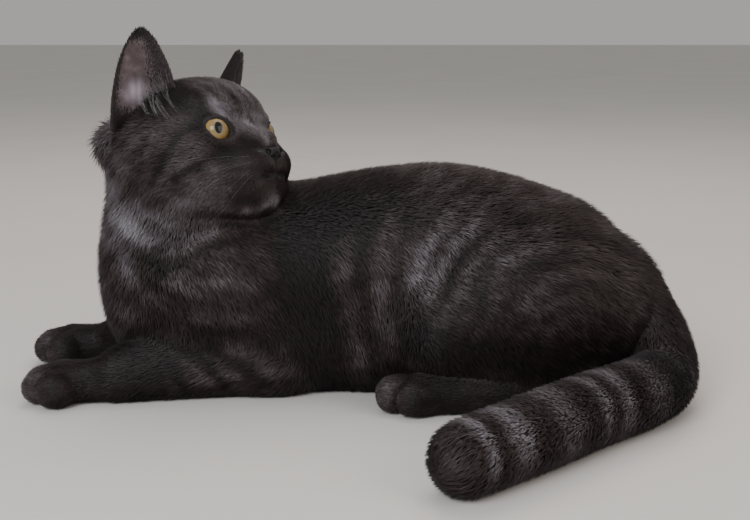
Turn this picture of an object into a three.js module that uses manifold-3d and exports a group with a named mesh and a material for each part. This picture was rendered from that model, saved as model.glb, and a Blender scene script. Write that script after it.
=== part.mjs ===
// A young British Shorthair cat lying on the floor, head turned back over its left shoulder.
// Millimetres, +Z up. The cat's body points along -X, its left side faces -Y, and its feet,
// belly and tail rest on the floor at Z = 0. The solids are the outer shape of the coat.
//
// Every part is a distance field: tubes with oval sections along a spine, and ellipsoids,
// joined with rounded creases. Each part's closed surface is then drawn on a grid of its own,
// and neighbouring parts are cut apart by a thin gap.
import * as THREE from "three";
import { mergeVertices } from "three/addons/utils/BufferGeometryUtils.js";
import Module from "manifold-3d";

const wasm = await Module();
wasm.setup();

// ---- Driving dimensions -------------------------------------------------------------------
const GAP = 0.4; // between neighbouring solids
const SOCKET_GAP = 0.7; // round the eyes, nose and ear roots
const ROUGHNESS = 0.12; // how far a thinned mesh may leave the drawn surface, in grid cells
const LIMIT_ROUGHNESS = 0.14; // the same, for the surfaces that part the solids
const LIMIT_CELL = 1.8; // the grid cell of those surfaces, in cells of the part
const MIDLINE_Y = 72.5; // the body's middle plane, which leans a little towards -Y at the rump
const MIDLINE_LEAN = -0.05;
const BACK_HEIGHT = 150;
const CHEST_WIDTH = 104;
const HAUNCH_WIDTH = 124;
const FOREARM_RADIUS = 17;
const PAW_HALF_HEIGHT = 14;
const TAIL_RADIUS = 22.5;
const HEAD_CENTRE = [-98, 72, 159];
const HEAD_YAW = 33; // degrees from +X towards -Y
const HEAD_PITCH = 8;
const HEAD_ROLL = 7;
const EYE_RADIUS = 11;
const EYE_FORWARD = 27.5; // from the head's centre to the eyeball's
const EYE_SIDE = 21.5;
const EYE_UP = 7.5;
const NOSE_AT = [56, 0, -6.5]; // forward, left and up from the head's centre
const NOSE_RADII = [6, 8, 6];
const EAR_WIDTH = 48;
const EAR_THICKNESS = 4;
const EAR_ROOT_THICKNESS = 11;
const EAR_ROOT_DEPTH = 9; // how far the root is set into the head

const midline = (x) => MIDLINE_Y + MIDLINE_LEAN * x;

// ---- Small vector helpers -----------------------------------------------------------------
const add = (a, b, k = 1) => [a[0] + k * b[0], a[1] + k * b[1], a[2] + k * b[2]];
const sub = (a, b) => [a[0] - b[0], a[1] - b[1], a[2] - b[2]];
const dot = (a, b) => a[0] * b[0] + a[1] * b[1] + a[2] * b[2];
const cross = (a, b) => [a[1] * b[2] - a[2] * b[1], a[2] * b[0] - a[0] * b[2], a[0] * b[1] - a[1] * b[0]];
const unit = (a) => {
  const length = Math.hypot(...a);
  return [a[0] / length, a[1] / length, a[2] / length];
};
const mix = (a, b, t) => a + (b - a) * t;
const clamp01 = (t) => Math.min(1, Math.max(0, t));
const radians = THREE.MathUtils.degToRad;

// ---- Distance fields ----------------------------------------------------------------------
// The lower of two distances, with a rounded crease about k wide.
function blend(a, b, k) {
  const h = Math.max(k - Math.abs(a - b), 0) / k;
  return Math.min(a, b) - (h * h * k) / 4;
}
const blendAll = (list, k) => (p) => list.reduce((d, field) => blend(d, field(p), k), 1e3);

// Distance to an ellipsoid from its local coordinates.
function ovalDistance(u, v, w, radii) {
  const k0 = Math.hypot(u / radii[0], v / radii[1], w / radii[2]);
  const k1 = Math.hypot(u / radii[0] ** 2, v / radii[1] ** 2, w / radii[2] ** 2);
  return k1 < 1e-9 ? -Math.min(...radii) : (k0 * (k0 - 1)) / k1;
}

// An ellipsoid; axes are the directions of its three radii.
const WORLD_AXES = [[1, 0, 0], [0, 1, 0], [0, 0, 1]];
const ellipsoid = (at, radii, axes = WORLD_AXES) => (p) => {
  const q = sub(p, at);
  return ovalDistance(dot(q, axes[0]), dot(q, axes[1]), dot(q, axes[2]), radii);
};

// A tube along a smooth spine. Each station is [x, y, z, half width, half height], and the
// ends are closed by half ovals. Width is measured level, or across `up` where it is given.
function tube(stations, up = [0, 0, 1]) {
  const steps = (stations.length - 1) * 6;
  const spine = new THREE.CatmullRomCurve3(stations.map((s) => new THREE.Vector3(s[0], s[1], s[2])));
  const sizes = new THREE.CatmullRomCurve3(stations.map((s) => new THREE.Vector3(s[3], s[4], 0)));
  const at = spine.getPoints(steps).map((v) => v.toArray());
  const size = sizes.getPoints(steps).map((v) => [v.x, v.y]);
  const run = at.slice(1).map((p, i) => sub(p, at[i]));
  const ways = at.map((p, i) => unit(sub(at[Math.min(i + 1, steps)], at[Math.max(i - 1, 0)])));
  return (p) => {
    let best = Infinity, segment = 0, share = 0;
    for (let i = 0; i < steps; i++) {
      const [x, y, z] = at[i], [dx, dy, dz] = run[i];
      const px = p[0] - x, py = p[1] - y, pz = p[2] - z;
      const t = clamp01((px * dx + py * dy + pz * dz) / (dx * dx + dy * dy + dz * dz));
      const away = (px - t * dx) ** 2 + (py - t * dy) ** 2 + (pz - t * dz) ** 2;
      if (away >= best) continue;
      best = away;
      segment = i;
      share = t;
    }
    const along = unit(add(ways[segment].map((c) => c * (1 - share)), ways[segment + 1], share));
    const side = unit(cross(up, along));
    const high = cross(along, side);
    const centre = add(at[segment], sub(at[segment + 1], at[segment]), share);
    const q = sub(p, centre);
    const wide = mix(size[segment][0], size[segment + 1][0], share);
    const tall = mix(size[segment][1], size[segment + 1][1], share);
    return ovalDistance(dot(q, side), dot(q, high), dot(q, along), [wide, tall, Math.min(wide, tall)]);
  };
}

// ---- Head frame ---------------------------------------------------------------------------
const yaw = radians(HEAD_YAW), pitch = radians(HEAD_PITCH), roll = radians(HEAD_ROLL);
const level = [Math.cos(yaw), -Math.sin(yaw), 0];
const leftLevel = [Math.sin(yaw), Math.cos(yaw), 0];
const FORWARD = add(level.map((c) => c * Math.cos(pitch)), [0, 0, 1], Math.sin(pitch));
const upright = add([0, 0, Math.cos(pitch)], level, -Math.sin(pitch));
const LEFT = add(leftLevel.map((c) => c * Math.cos(roll)), upright, -Math.sin(roll));
const UP = add(upright.map((c) => c * Math.cos(roll)), leftLevel, Math.sin(roll));
const HEAD_AXES = [FORWARD, LEFT, UP];
// A point of the head: forward, to its left and up from the head's centre.
const inHead = (f, l, u) => add(add(add(HEAD_CENTRE, FORWARD, f), LEFT, l), UP, u);
const headOval = (f, l, u, radii) => ellipsoid(inHead(f, l, u), radii, HEAD_AXES);
const SIDES = { left: 1, right: -1 };

// ---- Trunk and neck -----------------------------------------------------------------------
function trunkField() {
  const chest = CHEST_WIDTH / 2, haunch = HAUNCH_WIDTH / 2, back = BACK_HEIGHT;
  const station = (x, width, bottom, top) => [x, midline(x), (bottom + top) / 2, width, (top - bottom) / 2];
  const barrel = tube([
    station(-124, chest - 8, 8, back - 30),
    station(-80, chest - 2, 4, back - 18),
    station(-30, chest, -2, back - 12),
    station(20, chest + 4, -7, back - 3),
    station(60, haunch - 2, -10, back),
    station(100, haunch, -10, back - 8),
    station(134, haunch - 2, -7, back - 22),
    station(156, haunch - 14, -4, back - 42),
  ]);
  const belly = ellipsoid([14, midline(14), 32], [84, 52, 42]);
  return blendAll([barrel, belly], 20);
}

function neckField() {
  const column = tube([
    [-112, 76, 58, 44, 51],
    [-114, 75, 100, 46, 53],
    [-113, 74, 138, 44, 52],
  ], [1, 0, 0]);
  const scruff = ellipsoid([-156, 84, 160], [21, 22, 19]);
  return blendAll([column, scruff], 14);
}

// ---- Legs ---------------------------------------------------------------------------------
const PAW_Z = PAW_HALF_HEIGHT - 1; // the soles reach just below the floor and are cut flat there

// Four toes in a fan round the front of a paw; outward is the side of the smallest toe.
function pawField(heel, tip, halfWidth, toeRadius) {
  const along = unit([tip[0] - heel[0], tip[1] - heel[1], 0]);
  const across = cross([0, 0, 1], along);
  const height = PAW_HALF_HEIGHT;
  const pad = tube([
    [...heel, height - 2, height],
    [...add(heel, sub(tip, heel), 0.6), halfWidth, height],
  ]);
  const toes = [-1.5, -0.5, 0.5, 1.5].map((step) => {
    const reach = Math.abs(step) > 1 ? -toeRadius * 2.3 : -toeRadius * 0.9;
    const at = add(add(tip, along, reach), across, step * halfWidth * 0.56);
    const radii = [toeRadius * 1.5, toeRadius, height - 2];
    return ellipsoid([at[0], at[1], height - 3], radii, [along, across, [0, 0, 1]]);
  });
  return (p) => blend(pad(p), blendAll(toes, 2)(p), 6);
}

const FORELEGS = {
  left: { shoulder: [-100, 41, 86], elbow: [-52, 40, 22], wrist: [-150, 23, 16], tip: [-208, 19, PAW_Z] },
  right: {
    shoulder: [-100, 112, 86], elbow: [-52, 112, 22], wrist: [-166, 108, 16], tip: [-226, 106, PAW_Z],
  },
};
function forelegField({ shoulder, elbow, wrist }) {
  const upperArm = tube([[...shoulder, 24, 34], [...elbow, 19, 24]]);
  const forearm = tube([
    [...elbow, FOREARM_RADIUS + 3, FOREARM_RADIUS + 5],
    [...add(elbow, sub(wrist, elbow), 0.5), FOREARM_RADIUS + 1, FOREARM_RADIUS + 4],
    [...wrist, FOREARM_RADIUS - 1, FOREARM_RADIUS + 1],
  ]);
  return blendAll([upperArm, forearm], 16);
}
const forepawField = ({ wrist, tip }) => pawField([wrist[0] - 8, wrist[1], tip[2]], tip, 18, 8);

const HINDLEGS = {
  left: { hip: [122, 26, 64], knee: [58, 14, 42], hock: [148, 10, 15], toes: [20, 1, PAW_Z] },
  right: { hip: [122, 107, 64], knee: [58, 118, 42], hock: [148, 122, 15], toes: [20, 134, PAW_Z] },
};
function hindlegField({ hip, knee, hock }) {
  const thigh = ellipsoid(hip, [62, 32, 52]);
  const kneeCap = tube([[...hip, 28, 40], [...knee, 19, 27]]);
  const shank = tube([[...knee, 16, 22], [...hock, 13, 15]]);
  return blendAll([thigh, kneeCap, shank], 18);
}
const hindpawField = ({ hock, toes }) => {
  const spot = (share) => [...add(hock, sub(toes, hock), share).slice(0, 2), toes[2]];
  const sole = tube([[...spot(0), 14, 14], [...spot(0.4), 15.5, 14], [...spot(0.8), 17, 14]]);
  const paw = pawField(spot(0.4), toes, 14.5, 8);
  return (p) => blend(sole(p), paw(p), 10);
};

// ---- Tail ---------------------------------------------------------------------------------
const TAIL = [
  [154, 65, 78, TAIL_RADIUS + 2, TAIL_RADIUS + 2],
  [180, 55, 65, TAIL_RADIUS + 1, TAIL_RADIUS + 1],
  [197, 35, 43, TAIL_RADIUS, TAIL_RADIUS],
  [198, 8, TAIL_RADIUS, TAIL_RADIUS, TAIL_RADIUS],
  [178, -23, TAIL_RADIUS - 1, TAIL_RADIUS, TAIL_RADIUS],
  [142, -54, TAIL_RADIUS - 1, TAIL_RADIUS, TAIL_RADIUS],
  [103, -90, TAIL_RADIUS - 1, TAIL_RADIUS, TAIL_RADIUS],
  [62, -125, TAIL_RADIUS - 2, TAIL_RADIUS - 1, TAIL_RADIUS - 1],
];
const tailField = () => tube(TAIL);

// ---- Head ---------------------------------------------------------------------------------
function headField() {
  const bothSides = (f, l, u, radii) => [headOval(f, l, u, radii), headOval(f, -l, u, radii)];
  const skull = [
    headOval(-9, 0, 10, [43, 44, 37.5]),
    headOval(14, 0, 16, [27, 32, 24]),
    ...bothSides(3, 27, -13, [33, 25, 27]),
    headOval(8, 0, -24, [38, 30, 20]),
    ...bothSides(20, 16, -30, [27, 19, 19]),
  ];
  const muzzle = [
    headOval(36, 0, -14, [23, 24, 17]),
    headOval(40, 0, 2, [19, 10, 10]),
    headOval(40, 0, -31, [18, 16, 14]),
  ];
  const pads = bothSides(46, 10, -14, [14, 12.5, 11]);
  return (p) => blend(blend(blendAll(skull, 16)(p), blendAll(muzzle, 10)(p), 18), blendAll(pads, 4)(p), 6);
}

// ---- Ears and eyes ------------------------------------------------------------------------
// The hollow faces `ahead` parts forward to `aside` parts outward.
const EARS = {
  left: { base: inHead(-15, 30, 20), tip: inHead(-3, 44, 68), ahead: 0.42, aside: 0.91 },
  right: { base: inHead(-20, -33, 18), tip: inHead(-9, -44, 75), ahead: 0.56, aside: 0.83 },
};
const EAR_ROWS = 9;
const EAR_COLUMNS = 8;
// A cupped leaf: a sheet of rows from root to tip, curled round a hollow that faces forward and
// outward. Its outline narrows in a rounded point, and it is thickest at the root.
function earMesh({ base, tip, ahead, aside }, side) {
  const high = unit(sub(tip, base));
  const aim = add(FORWARD.map((c) => c * ahead), LEFT, side * aside);
  const across = unit(cross(high, aim));
  const out = cross(across, high);
  const height = Math.hypot(...sub(tip, base));
  const points = [], faces = [];
  const at = (row, turn) => row * 2 * EAR_COLUMNS + ((turn + 2 * EAR_COLUMNS) % (2 * EAR_COLUMNS));
  for (let row = 0; row <= EAR_ROWS; row++) {
    const rise = row / EAR_ROWS;
    const half = (EAR_WIDTH / 2) * (1 - 0.96 * rise ** 1.9) ** 0.64;
    const cup = mix(15, 2, Math.sqrt(rise));
    const thick = mix(EAR_ROOT_THICKNESS, EAR_THICKNESS, Math.sqrt(rise)) / 2;
    const along = mix(-EAR_ROOT_DEPTH, height, rise);
    for (let turn = 0; turn < 2 * EAR_COLUMNS; turn++) {
      const angle = (Math.PI * turn) / EAR_COLUMNS;
      const w = half * Math.cos(angle);
      const n = -cup * Math.sin(angle) ** 2 + thick * Math.sin(angle);
      points.push(add(add(add(base, high, along), across, w), out, n));
    }
    for (let turn = 0; row && turn < 2 * EAR_COLUMNS; turn++) {
      const [a, b, c, d] = [at(row - 1, turn), at(row - 1, turn + 1), at(row, turn + 1), at(row, turn)];
      faces.push(a, c, b, a, d, c);
    }
  }
  // Each end is a crescent, so its cap is a strip between the crescent's two sides.
  for (const row of [0, EAR_ROWS]) {
    const cap = [];
    for (let turn = 0; turn < EAR_COLUMNS; turn++) {
      const [a, b, c, d] = [turn, turn + 1, -turn - 1, -turn].map((step) => at(row, step));
      if (turn < EAR_COLUMNS - 1) cap.push(a, b, c);
      if (turn) cap.push(a, c, d);
    }
    faces.push(...(row ? cap.reverse() : cap));
  }
  return { points, faces };
}

// A ball or egg in the head; radii run forward, sideways and up.
function eggMesh(at, radii) {
  const egg = new THREE.SphereGeometry(1, 12, 8).scale(...radii);
  const turn = new THREE.Matrix4().makeBasis(...HEAD_AXES.map((axis) => new THREE.Vector3(...axis)));
  return meshFrom(egg.applyMatrix4(turn.setPosition(...at)));
}

// ---- Drawing a field as a closed mesh -------------------------------------------------------
// Where only two opposite corners of a grid square are inside, the surface would touch itself
// there, so the nearer of the other two corners is moved just inside.
function settle(value, stride) {
  let moved = true;
  while (moved) {
    moved = false;
    for (let at = 0; at < value.length - stride[1] - stride[2]; at++) {
      for (const [u, w] of [[0, 1], [1, 2], [2, 0]]) {
        const ring = [at, at + stride[u], at + stride[u] + stride[w], at + stride[w]];
        const [a, b, c, d] = ring.map((corner) => value[corner] < 0);
        if (a !== c || b !== d || a === b) continue;
        const outside = ring.filter((corner) => value[corner] >= 0);
        const nearer = value[outside[0]] < value[outside[1]] ? outside[0] : outside[1];
        value[nearer] = -0.1;
        moved = true;
      }
    }
  }
}

// Surface nets: one vertex in each cell that the surface crosses, moved onto the surface, and
// one four-sided face round each grid edge that it crosses.
function drawField(field, low, high, cell) {
  const n = [0, 1, 2].map((k) => Math.ceil((high[k] - low[k]) / cell) + 1);
  const index = (i, j, k) => i + n[0] * (j + n[1] * k);
  const value = new Float64Array(n[0] * n[1] * n[2]);
  const onEdge = (i, axis) => i === 0 || i === n[axis] - 1;
  for (let k = 0; k < n[2]; k++)
    for (let j = 0; j < n[1]; j++)
      for (let i = 0; i < n[0]; i++) {
        const inside = field([low[0] + i * cell, low[1] + j * cell, low[2] + k * cell]);
        const closing = onEdge(i, 0) || onEdge(j, 1) || onEdge(k, 2);
        value[index(i, j, k)] = closing ? Math.max(inside, cell / 2) : inside;
      }
  const stride = [1, n[0], n[0] * n[1]];
  settle(value, stride);
  const corners = [0, 1, 2, 3, 4, 5, 6, 7].map((c) => [c & 1, (c >> 1) & 1, c >> 2]);
  const edges = corners.flatMap((a, i) =>
    [0, 1, 2].filter((axis) => !a[axis]).map((axis) => [i, i + (1 << axis)]));
  const vertexOf = new Map(), points = [];
  for (let k = 0; k < n[2] - 1; k++)
    for (let j = 0; j < n[1] - 1; j++)
      for (let i = 0; i < n[0] - 1; i++) {
        const v = corners.map((c) => value[index(i + c[0], j + c[1], k + c[2])]);
        const sum = [0, 0, 0];
        let count = 0;
        for (const [a, b] of edges) {
          if (v[a] < 0 === v[b] < 0) continue;
          const t = v[a] / (v[a] - v[b]);
          for (let axis = 0; axis < 3; axis++) sum[axis] += mix(corners[a][axis], corners[b][axis], t);
          count++;
        }
        if (!count) continue;
        vertexOf.set(index(i, j, k), points.length);
        points.push([i, j, k].map((c, axis) => low[axis] + (c + sum[axis] / count) * cell));
      }
  const faces = [];
  for (const at of vertexOf.keys()) {
    const cellAt = [at % n[0], Math.floor(at / n[0]) % n[1], Math.floor(at / (n[0] * n[1]))];
    for (let axis = 0; axis < 3; axis++) {
      const u = (axis + 1) % 3, w = (axis + 2) % 3;
      const inside = value[at] < 0;
      if (inside === value[at + stride[axis]] < 0) continue;
      if (!cellAt[u] || !cellAt[w]) continue;
      const cells = [at, at - stride[u], at - stride[u] - stride[w], at - stride[w]];
      const ring = cells.map((c) => vertexOf.get(c));
      if (!inside) ring.reverse();
      const [a, b, c, d] = ring;
      const shorter = Math.hypot(...sub(points[a], points[c])) < Math.hypot(...sub(points[b], points[d]));
      faces.push(...(shorter ? [a, b, c, a, c, d] : [a, b, d, b, c, d]));
    }
  }
  return { points, faces };
}

// Thins a closed mesh out while its surface moves by less than `tolerance`. A corner may slide
// into a neighbour that lies in the planes of all the faces that the corner stands for.
function thinned(points, faces, tolerance) {
  const triangles = [];
  const around = points.map(() => new Set()); // the triangles at each corner
  const planes = points.map(() => []);
  for (let i = 0; i < faces.length; i += 3) triangles.push([faces[i], faces[i + 1], faces[i + 2]]);
  const normalOf = ([a, b, c]) => cross(sub(points[b], points[a]), sub(points[c], points[a]));
  for (const [t, triangle] of triangles.entries()) {
    const normal = normalOf(triangle);
    const area = Math.hypot(...normal);
    for (const corner of triangle) {
      around[corner].add(t);
      if (area < 1e-6) continue;
      planes[corner].push([...normal.map((c) => c / area), dot(normal, points[corner]) / area]);
    }
  }
  const neighbours = (v) => new Set([...around[v]].flatMap((t) => triangles[t]).filter((w) => w !== v));
  const error = (u, v) => Math.max(0, ...planes[u].map((q) => Math.abs(dot(q, points[v]) - q[3])));
  const folds = (u, v) => [...around[u]].some((t) => {
    if (triangles[t].includes(v)) return false;
    const before = normalOf(triangles[t]);
    const after = normalOf(triangles[t].map((w) => (w === u ? v : w)));
    const area = Math.hypot(...after);
    return area < 1e-4 || dot(before, after) < 0.4 * Math.hypot(...before) * area;
  });
  const slide = (u, v) => {
    for (const t of around[u]) {
      if (triangles[t].includes(v)) {
        for (const w of triangles[t]) if (w !== u) around[w].delete(t);
        triangles[t] = null;
      } else {
        triangles[t] = triangles[t].map((w) => (w === u ? v : w));
        around[v].add(t);
      }
    }
    around[u].clear();
    planes[v].push(...planes[u]);
  };
  for (const share of [0, 0.3, 0.6, 1, 1]) {
    for (let u = 0; u < points.length; u++) {
      const near = neighbours(u);
      const choices = [...near].map((v) => [error(u, v), v]).filter(([e]) => e <= share * tolerance + 1e-4);
      for (const [, v] of choices.sort((a, b) => a[0] - b[0])) {
        const shared = [...neighbours(v)].filter((w) => near.has(w));
        if (shared.length !== 2 || folds(u, v)) continue;
        slide(u, v);
        break;
      }
    }
  }
  const kept = triangles.filter(Boolean);
  const number = new Map();
  for (const corner of kept.flat()) if (!number.has(corner)) number.set(corner, number.size);
  return { points: [...number.keys()].map((c) => points[c]), faces: kept.flat().map((c) => number.get(c)) };
}

// The corners and faces of a closed geometry, with the corners that lie together merged.
function meshFrom(geometry) {
  const bare = new THREE.BufferGeometry().setAttribute("position", geometry.getAttribute("position"));
  if (geometry.index) bare.setIndex(geometry.index);
  const merged = mergeVertices(bare, 1e-4);
  const at = merged.getAttribute("position");
  const points = Array.from({ length: at.count }, (_, i) => [at.getX(i), at.getY(i), at.getZ(i)]);
  const faces = [];
  for (let i = 0; i < merged.index.count; i += 3) {
    const face = [0, 1, 2].map((k) => merged.index.getX(i + k));
    if (new Set(face).size === 3) faces.push(...face);
  }
  return { points, faces };
}

// A cut can leave crumbs beside the part; only the largest connected shell is kept.
function largestShell(faces, cornerCount) {
  const leader = Array.from({ length: cornerCount }, (_, i) => i);
  const find = (i) => {
    while (leader[i] !== i) i = leader[i];
    return i;
  };
  for (let i = 0; i < faces.length; i++) {
    const here = find(faces[i]), first = find(faces[i - (i % 3)]);
    leader[Math.max(here, first)] = Math.min(here, first);
  }
  const sizes = new Map();
  for (const corner of faces) sizes.set(find(corner), (sizes.get(find(corner)) ?? 0) + 1);
  const largest = [...sizes.keys()].reduce((a, b) => (sizes.get(a) >= sizes.get(b) ? a : b));
  return faces.filter((corner) => find(corner) === largest);
}

function geometryFrom(solid) {
  const mesh = solid.getMesh();
  const at = mesh.vertProperties;
  const corners = [];
  for (let i = 0; i < at.length; i += 3) corners.push([at[i], at[i + 1], at[i + 2]]);
  const { points, faces } = thinned(corners, largestShell([...mesh.triVerts], corners.length), GAP / 5);
  return new THREE.BufferGeometry()
    .setAttribute("position", new THREE.Float32BufferAttribute(points.flat(), 3))
    .setIndex(faces);
}

// The same mesh with every face moved outwards by about `grow`.
function swollen({ points, faces }, grow) {
  const around = points.map(() => []);
  for (let i = 0; i < faces.length; i += 3) {
    const [a, b, c] = faces.slice(i, i + 3).map((corner) => points[corner]);
    const normal = unit(cross(sub(b, a), sub(c, a)));
    for (let k = 0; k < 3; k++) around[faces[i + k]].push(normal);
  }
  const moved = points.map((p, i) => {
    const way = unit(around[i].reduce((sum, normal) => add(sum, normal)));
    const slowest = Math.min(...around[i].map((normal) => dot(normal, way)));
    return add(p, way, grow / Math.max(0.25, slowest));
  });
  return { points: moved, faces };
}

function solidFromMesh({ points, faces }) {
  return new wasm.Manifold(new wasm.Mesh({
    numProp: 3,
    vertProperties: new Float32Array(points.flat()),
    triVerts: new Uint32Array(faces),
  }));
}

function meshOf(field, [centre, reach], cell, roughness) {
  const low = sub(centre, reach), high = add(centre, reach);
  low[2] = Math.max(low[2], -2.5 * cell);
  const { points, faces } = drawField(field, low, high, cell);
  return thinned(points, faces, roughness * cell);
}

// ---- The whole cat, as one field ------------------------------------------------------------
const FIELDS = {
  trunk: trunkField(),
  neck: neckField(),
  head: headField(),
  foreleg_left: forelegField(FORELEGS.left),
  foreleg_right: forelegField(FORELEGS.right),
  forepaw_left: forepawField(FORELEGS.left),
  forepaw_right: forepawField(FORELEGS.right),
  hindleg_left: hindlegField(HINDLEGS.left),
  hindleg_right: hindlegField(HINDLEGS.right),
  hindpaw_left: hindpawField(HINDLEGS.left),
  hindpaw_right: hindpawField(HINDLEGS.right),
  tail: tailField(),
};

// The outer surface of the coat, without the ears.
function coatSurface(p) {
  const d = Object.fromEntries(Object.entries(FIELDS).map(([name, field]) => [name, field(p)]));
  let body = blend(d.trunk, d.neck, 30);
  body = blend(body, Math.min(d.hindleg_left, d.hindleg_right), 32);
  body = blend(body, Math.min(d.foreleg_left, d.foreleg_right), 32);
  body = blend(body, Math.min(d.forepaw_left, d.forepaw_right), 8);
  body = blend(body, Math.min(d.hindpaw_left, d.hindpaw_right), 4);
  const atRump = clamp01((p[1] - 20) / 30);
  body = blend(body, d.tail, mix(2, 16, atRump)); // the tail only grows out of the rump
  const towardsNape = clamp01((15 - dot(sub(p, HEAD_CENTRE), FORWARD)) / 30);
  return blend(body, d.head, mix(3, 14, towardsNape)); // the chin stays free of the shoulder
}

// ---- Where the parts are cut apart ----------------------------------------------------------
// A plane to cut along: a point on it, and the direction of the side that is kept.
const plane = (point, towards) => ({ point, towards: unit(towards) });
const opposite = ({ point, towards }) => plane(point, sub([0, 0, 0], towards));

const SLAB = 700; // larger than the cat
function slabSolid({ point, towards }, grow) {
  const box = new THREE.BoxGeometry(SLAB, SLAB, SLAB).translate(0, 0, SLAB / 2 - grow);
  const upright = new THREE.Vector3(0, 0, 1);
  box.applyQuaternion(new THREE.Quaternion().setFromUnitVectors(upright, new THREE.Vector3(...towards)));
  return solidFromMesh(meshFrom(box.translate(...point)));
}

const tailPoint = (i) => TAIL[i].slice(0, 3);
const tailCut = (i) => plane(tailPoint(i), sub(tailPoint(i + 1), tailPoint(i - 1)));
const FLOOR = plane([0, 0, 0], [0, 0, 1]); // the belly, legs and tail are flat where they rest
const TAIL_ROOT = plane([168, 58, 74], [0.75, -0.35, -0.55]);
const COLLAR = plane([-112, 74, 128], add(UP, FORWARD, 0.45)); // between neck and head
const SHOULDERS = plane([-112, 74, 97], [-0.54, 0, 0.84]); // from the withers to the point of the chest
const wristCut = ({ wrist, tip }) => plane(wrist, sub(tip, wrist));

// From the finest part to the coarsest. A part is what lies inside its cuts and within `margin`
// of its own field; the parts after it keep clear of that space. Each is drawn on a grid of
// `cell`, in a box given by its centre and how far it reaches from there.
const PARTS = [
  { name: "forepaw_left", cell: 6.5, cuts: [wristCut(FORELEGS.left)], margin: 6,
    box: [[-187, 20, 20], [60, 45, 40]] },
  { name: "forepaw_right", cell: 6.5, cuts: [wristCut(FORELEGS.right)], margin: 6,
    box: [[-205, 107, 20], [60, 45, 40]] },
  { name: "hindpaw_left", cell: 8, margin: 3,
    box: [[85, 3, 20], [95, 45, 40]] },
  { name: "hindpaw_right", cell: 8, margin: 3,
    box: [[85, 131, 20], [95, 45, 40]] },
  { name: "head", cell: 8.5, cuts: [COLLAR], margin: 2.5,
    box: [HEAD_CENTRE, [88, 85, 75]] },
  { name: "tail_tip", of: "tail", cell: 11.5, cuts: [tailCut(5)], margin: 6,
    box: [[98, -95, 20], [80, 75, 50]] },
  { name: "tail_middle", of: "tail", cell: 11.5, cuts: [tailCut(3), opposite(tailCut(5))], margin: 6,
    box: [[172, -25, 20], [65, 65, 50]] },
  { name: "tail_base", of: "tail", cell: 11.5, cuts: [TAIL_ROOT, opposite(tailCut(3))], margin: 6,
    box: [[185, 35, 52], [60, 65, 65]] },
  { name: "foreleg_left", cell: 10.5, margin: 7,
    box: [[-100, 33, 55], [90, 60, 85]] },
  { name: "foreleg_right", cell: 10.5, margin: 7,
    box: [[-105, 110, 55], [90, 60, 85]] },
  { name: "hindleg_left", cell: 12, margin: 7,
    box: [[108, 15, 60], [110, 60, 85]] },
  { name: "hindleg_right", cell: 12, margin: 7,
    box: [[108, 118, 60], [110, 60, 85]] },
  { name: "neck", cell: 13, cuts: [SHOULDERS],
    box: [[-125, 75, 100], [75, 85, 100]] },
  { name: "trunk", cell: 18,
    box: [[17, 66, 75], [196, 82, 95]] },
];

function drawPart({ name, of = name, cell, cuts = [], margin, box }) {
  const drawn = solidFromMesh(meshOf(coatSurface, box, cell, ROUGHNESS));
  const blank = drawn.intersect(slabSolid(FLOOR, 0));
  if (!margin && !cuts.length) return { solid: blank };
  const around = margin && meshOf((p) => FIELDS[of](p) - margin, box, cell * LIMIT_CELL, LIMIT_ROUGHNESS);
  const place = (grow) => {
    const limits = cuts.map((cut) => slabSolid(cut, grow));
    if (around) limits.push(solidFromMesh(swollen(around, grow)));
    return limits.reduce((whole, limit) => whole.intersect(limit));
  };
  return { solid: blank.intersect(place(0)), cutter: place(GAP) };
}

// ---- Putting the cat together ----------------------------------------------------------------
const COAT = { color: "#2b2829", roughness: 0.85, metalness: 0 };
const EYE = { color: "#c08a2c", roughness: 0.12, metalness: 0 };
const NOSE = { color: "#171415", roughness: 0.5, metalness: 0 };

const cat = new THREE.Group();
function addPart(name, solid, finish) {
  const mesh = new THREE.Mesh(geometryFrom(solid), new THREE.MeshStandardMaterial(finish));
  mesh.name = name;
  cat.add(mesh);
}

const cutters = [];
function addWithClearance(name, mesh, finish) {
  addPart(name, solidFromMesh(mesh), finish);
  cutters.push(solidFromMesh(swollen(mesh, SOCKET_GAP)));
}
addWithClearance("nose", eggMesh(inHead(...NOSE_AT), NOSE_RADII), NOSE);
for (const [name, side] of Object.entries(SIDES)) {
  const eyeAt = inHead(EYE_FORWARD, side * EYE_SIDE, EYE_UP);
  addWithClearance("eye_" + name, eggMesh(eyeAt, [EYE_RADIUS, EYE_RADIUS, EYE_RADIUS]), EYE);
  addWithClearance("ear_" + name, earMesh(EARS[name], side), COAT);
}
for (const part of PARTS) {
  const { solid, cutter } = drawPart(part);
  addPart(part.name, cutters.reduce((rest, other) => rest.subtract(other), solid), COAT);
  if (cutter) cutters.push(cutter);
}

// The origin is on the floor, under the middle of the cat.
const extent = new THREE.Box3().setFromObject(cat);
const middle = extent.getCenter(new THREE.Vector3());
cat.position.set(-middle.x, -middle.y, 0);
export default cat;
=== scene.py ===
import math

import bmesh
import bpy
import numpy as np
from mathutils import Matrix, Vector, kdtree


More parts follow.
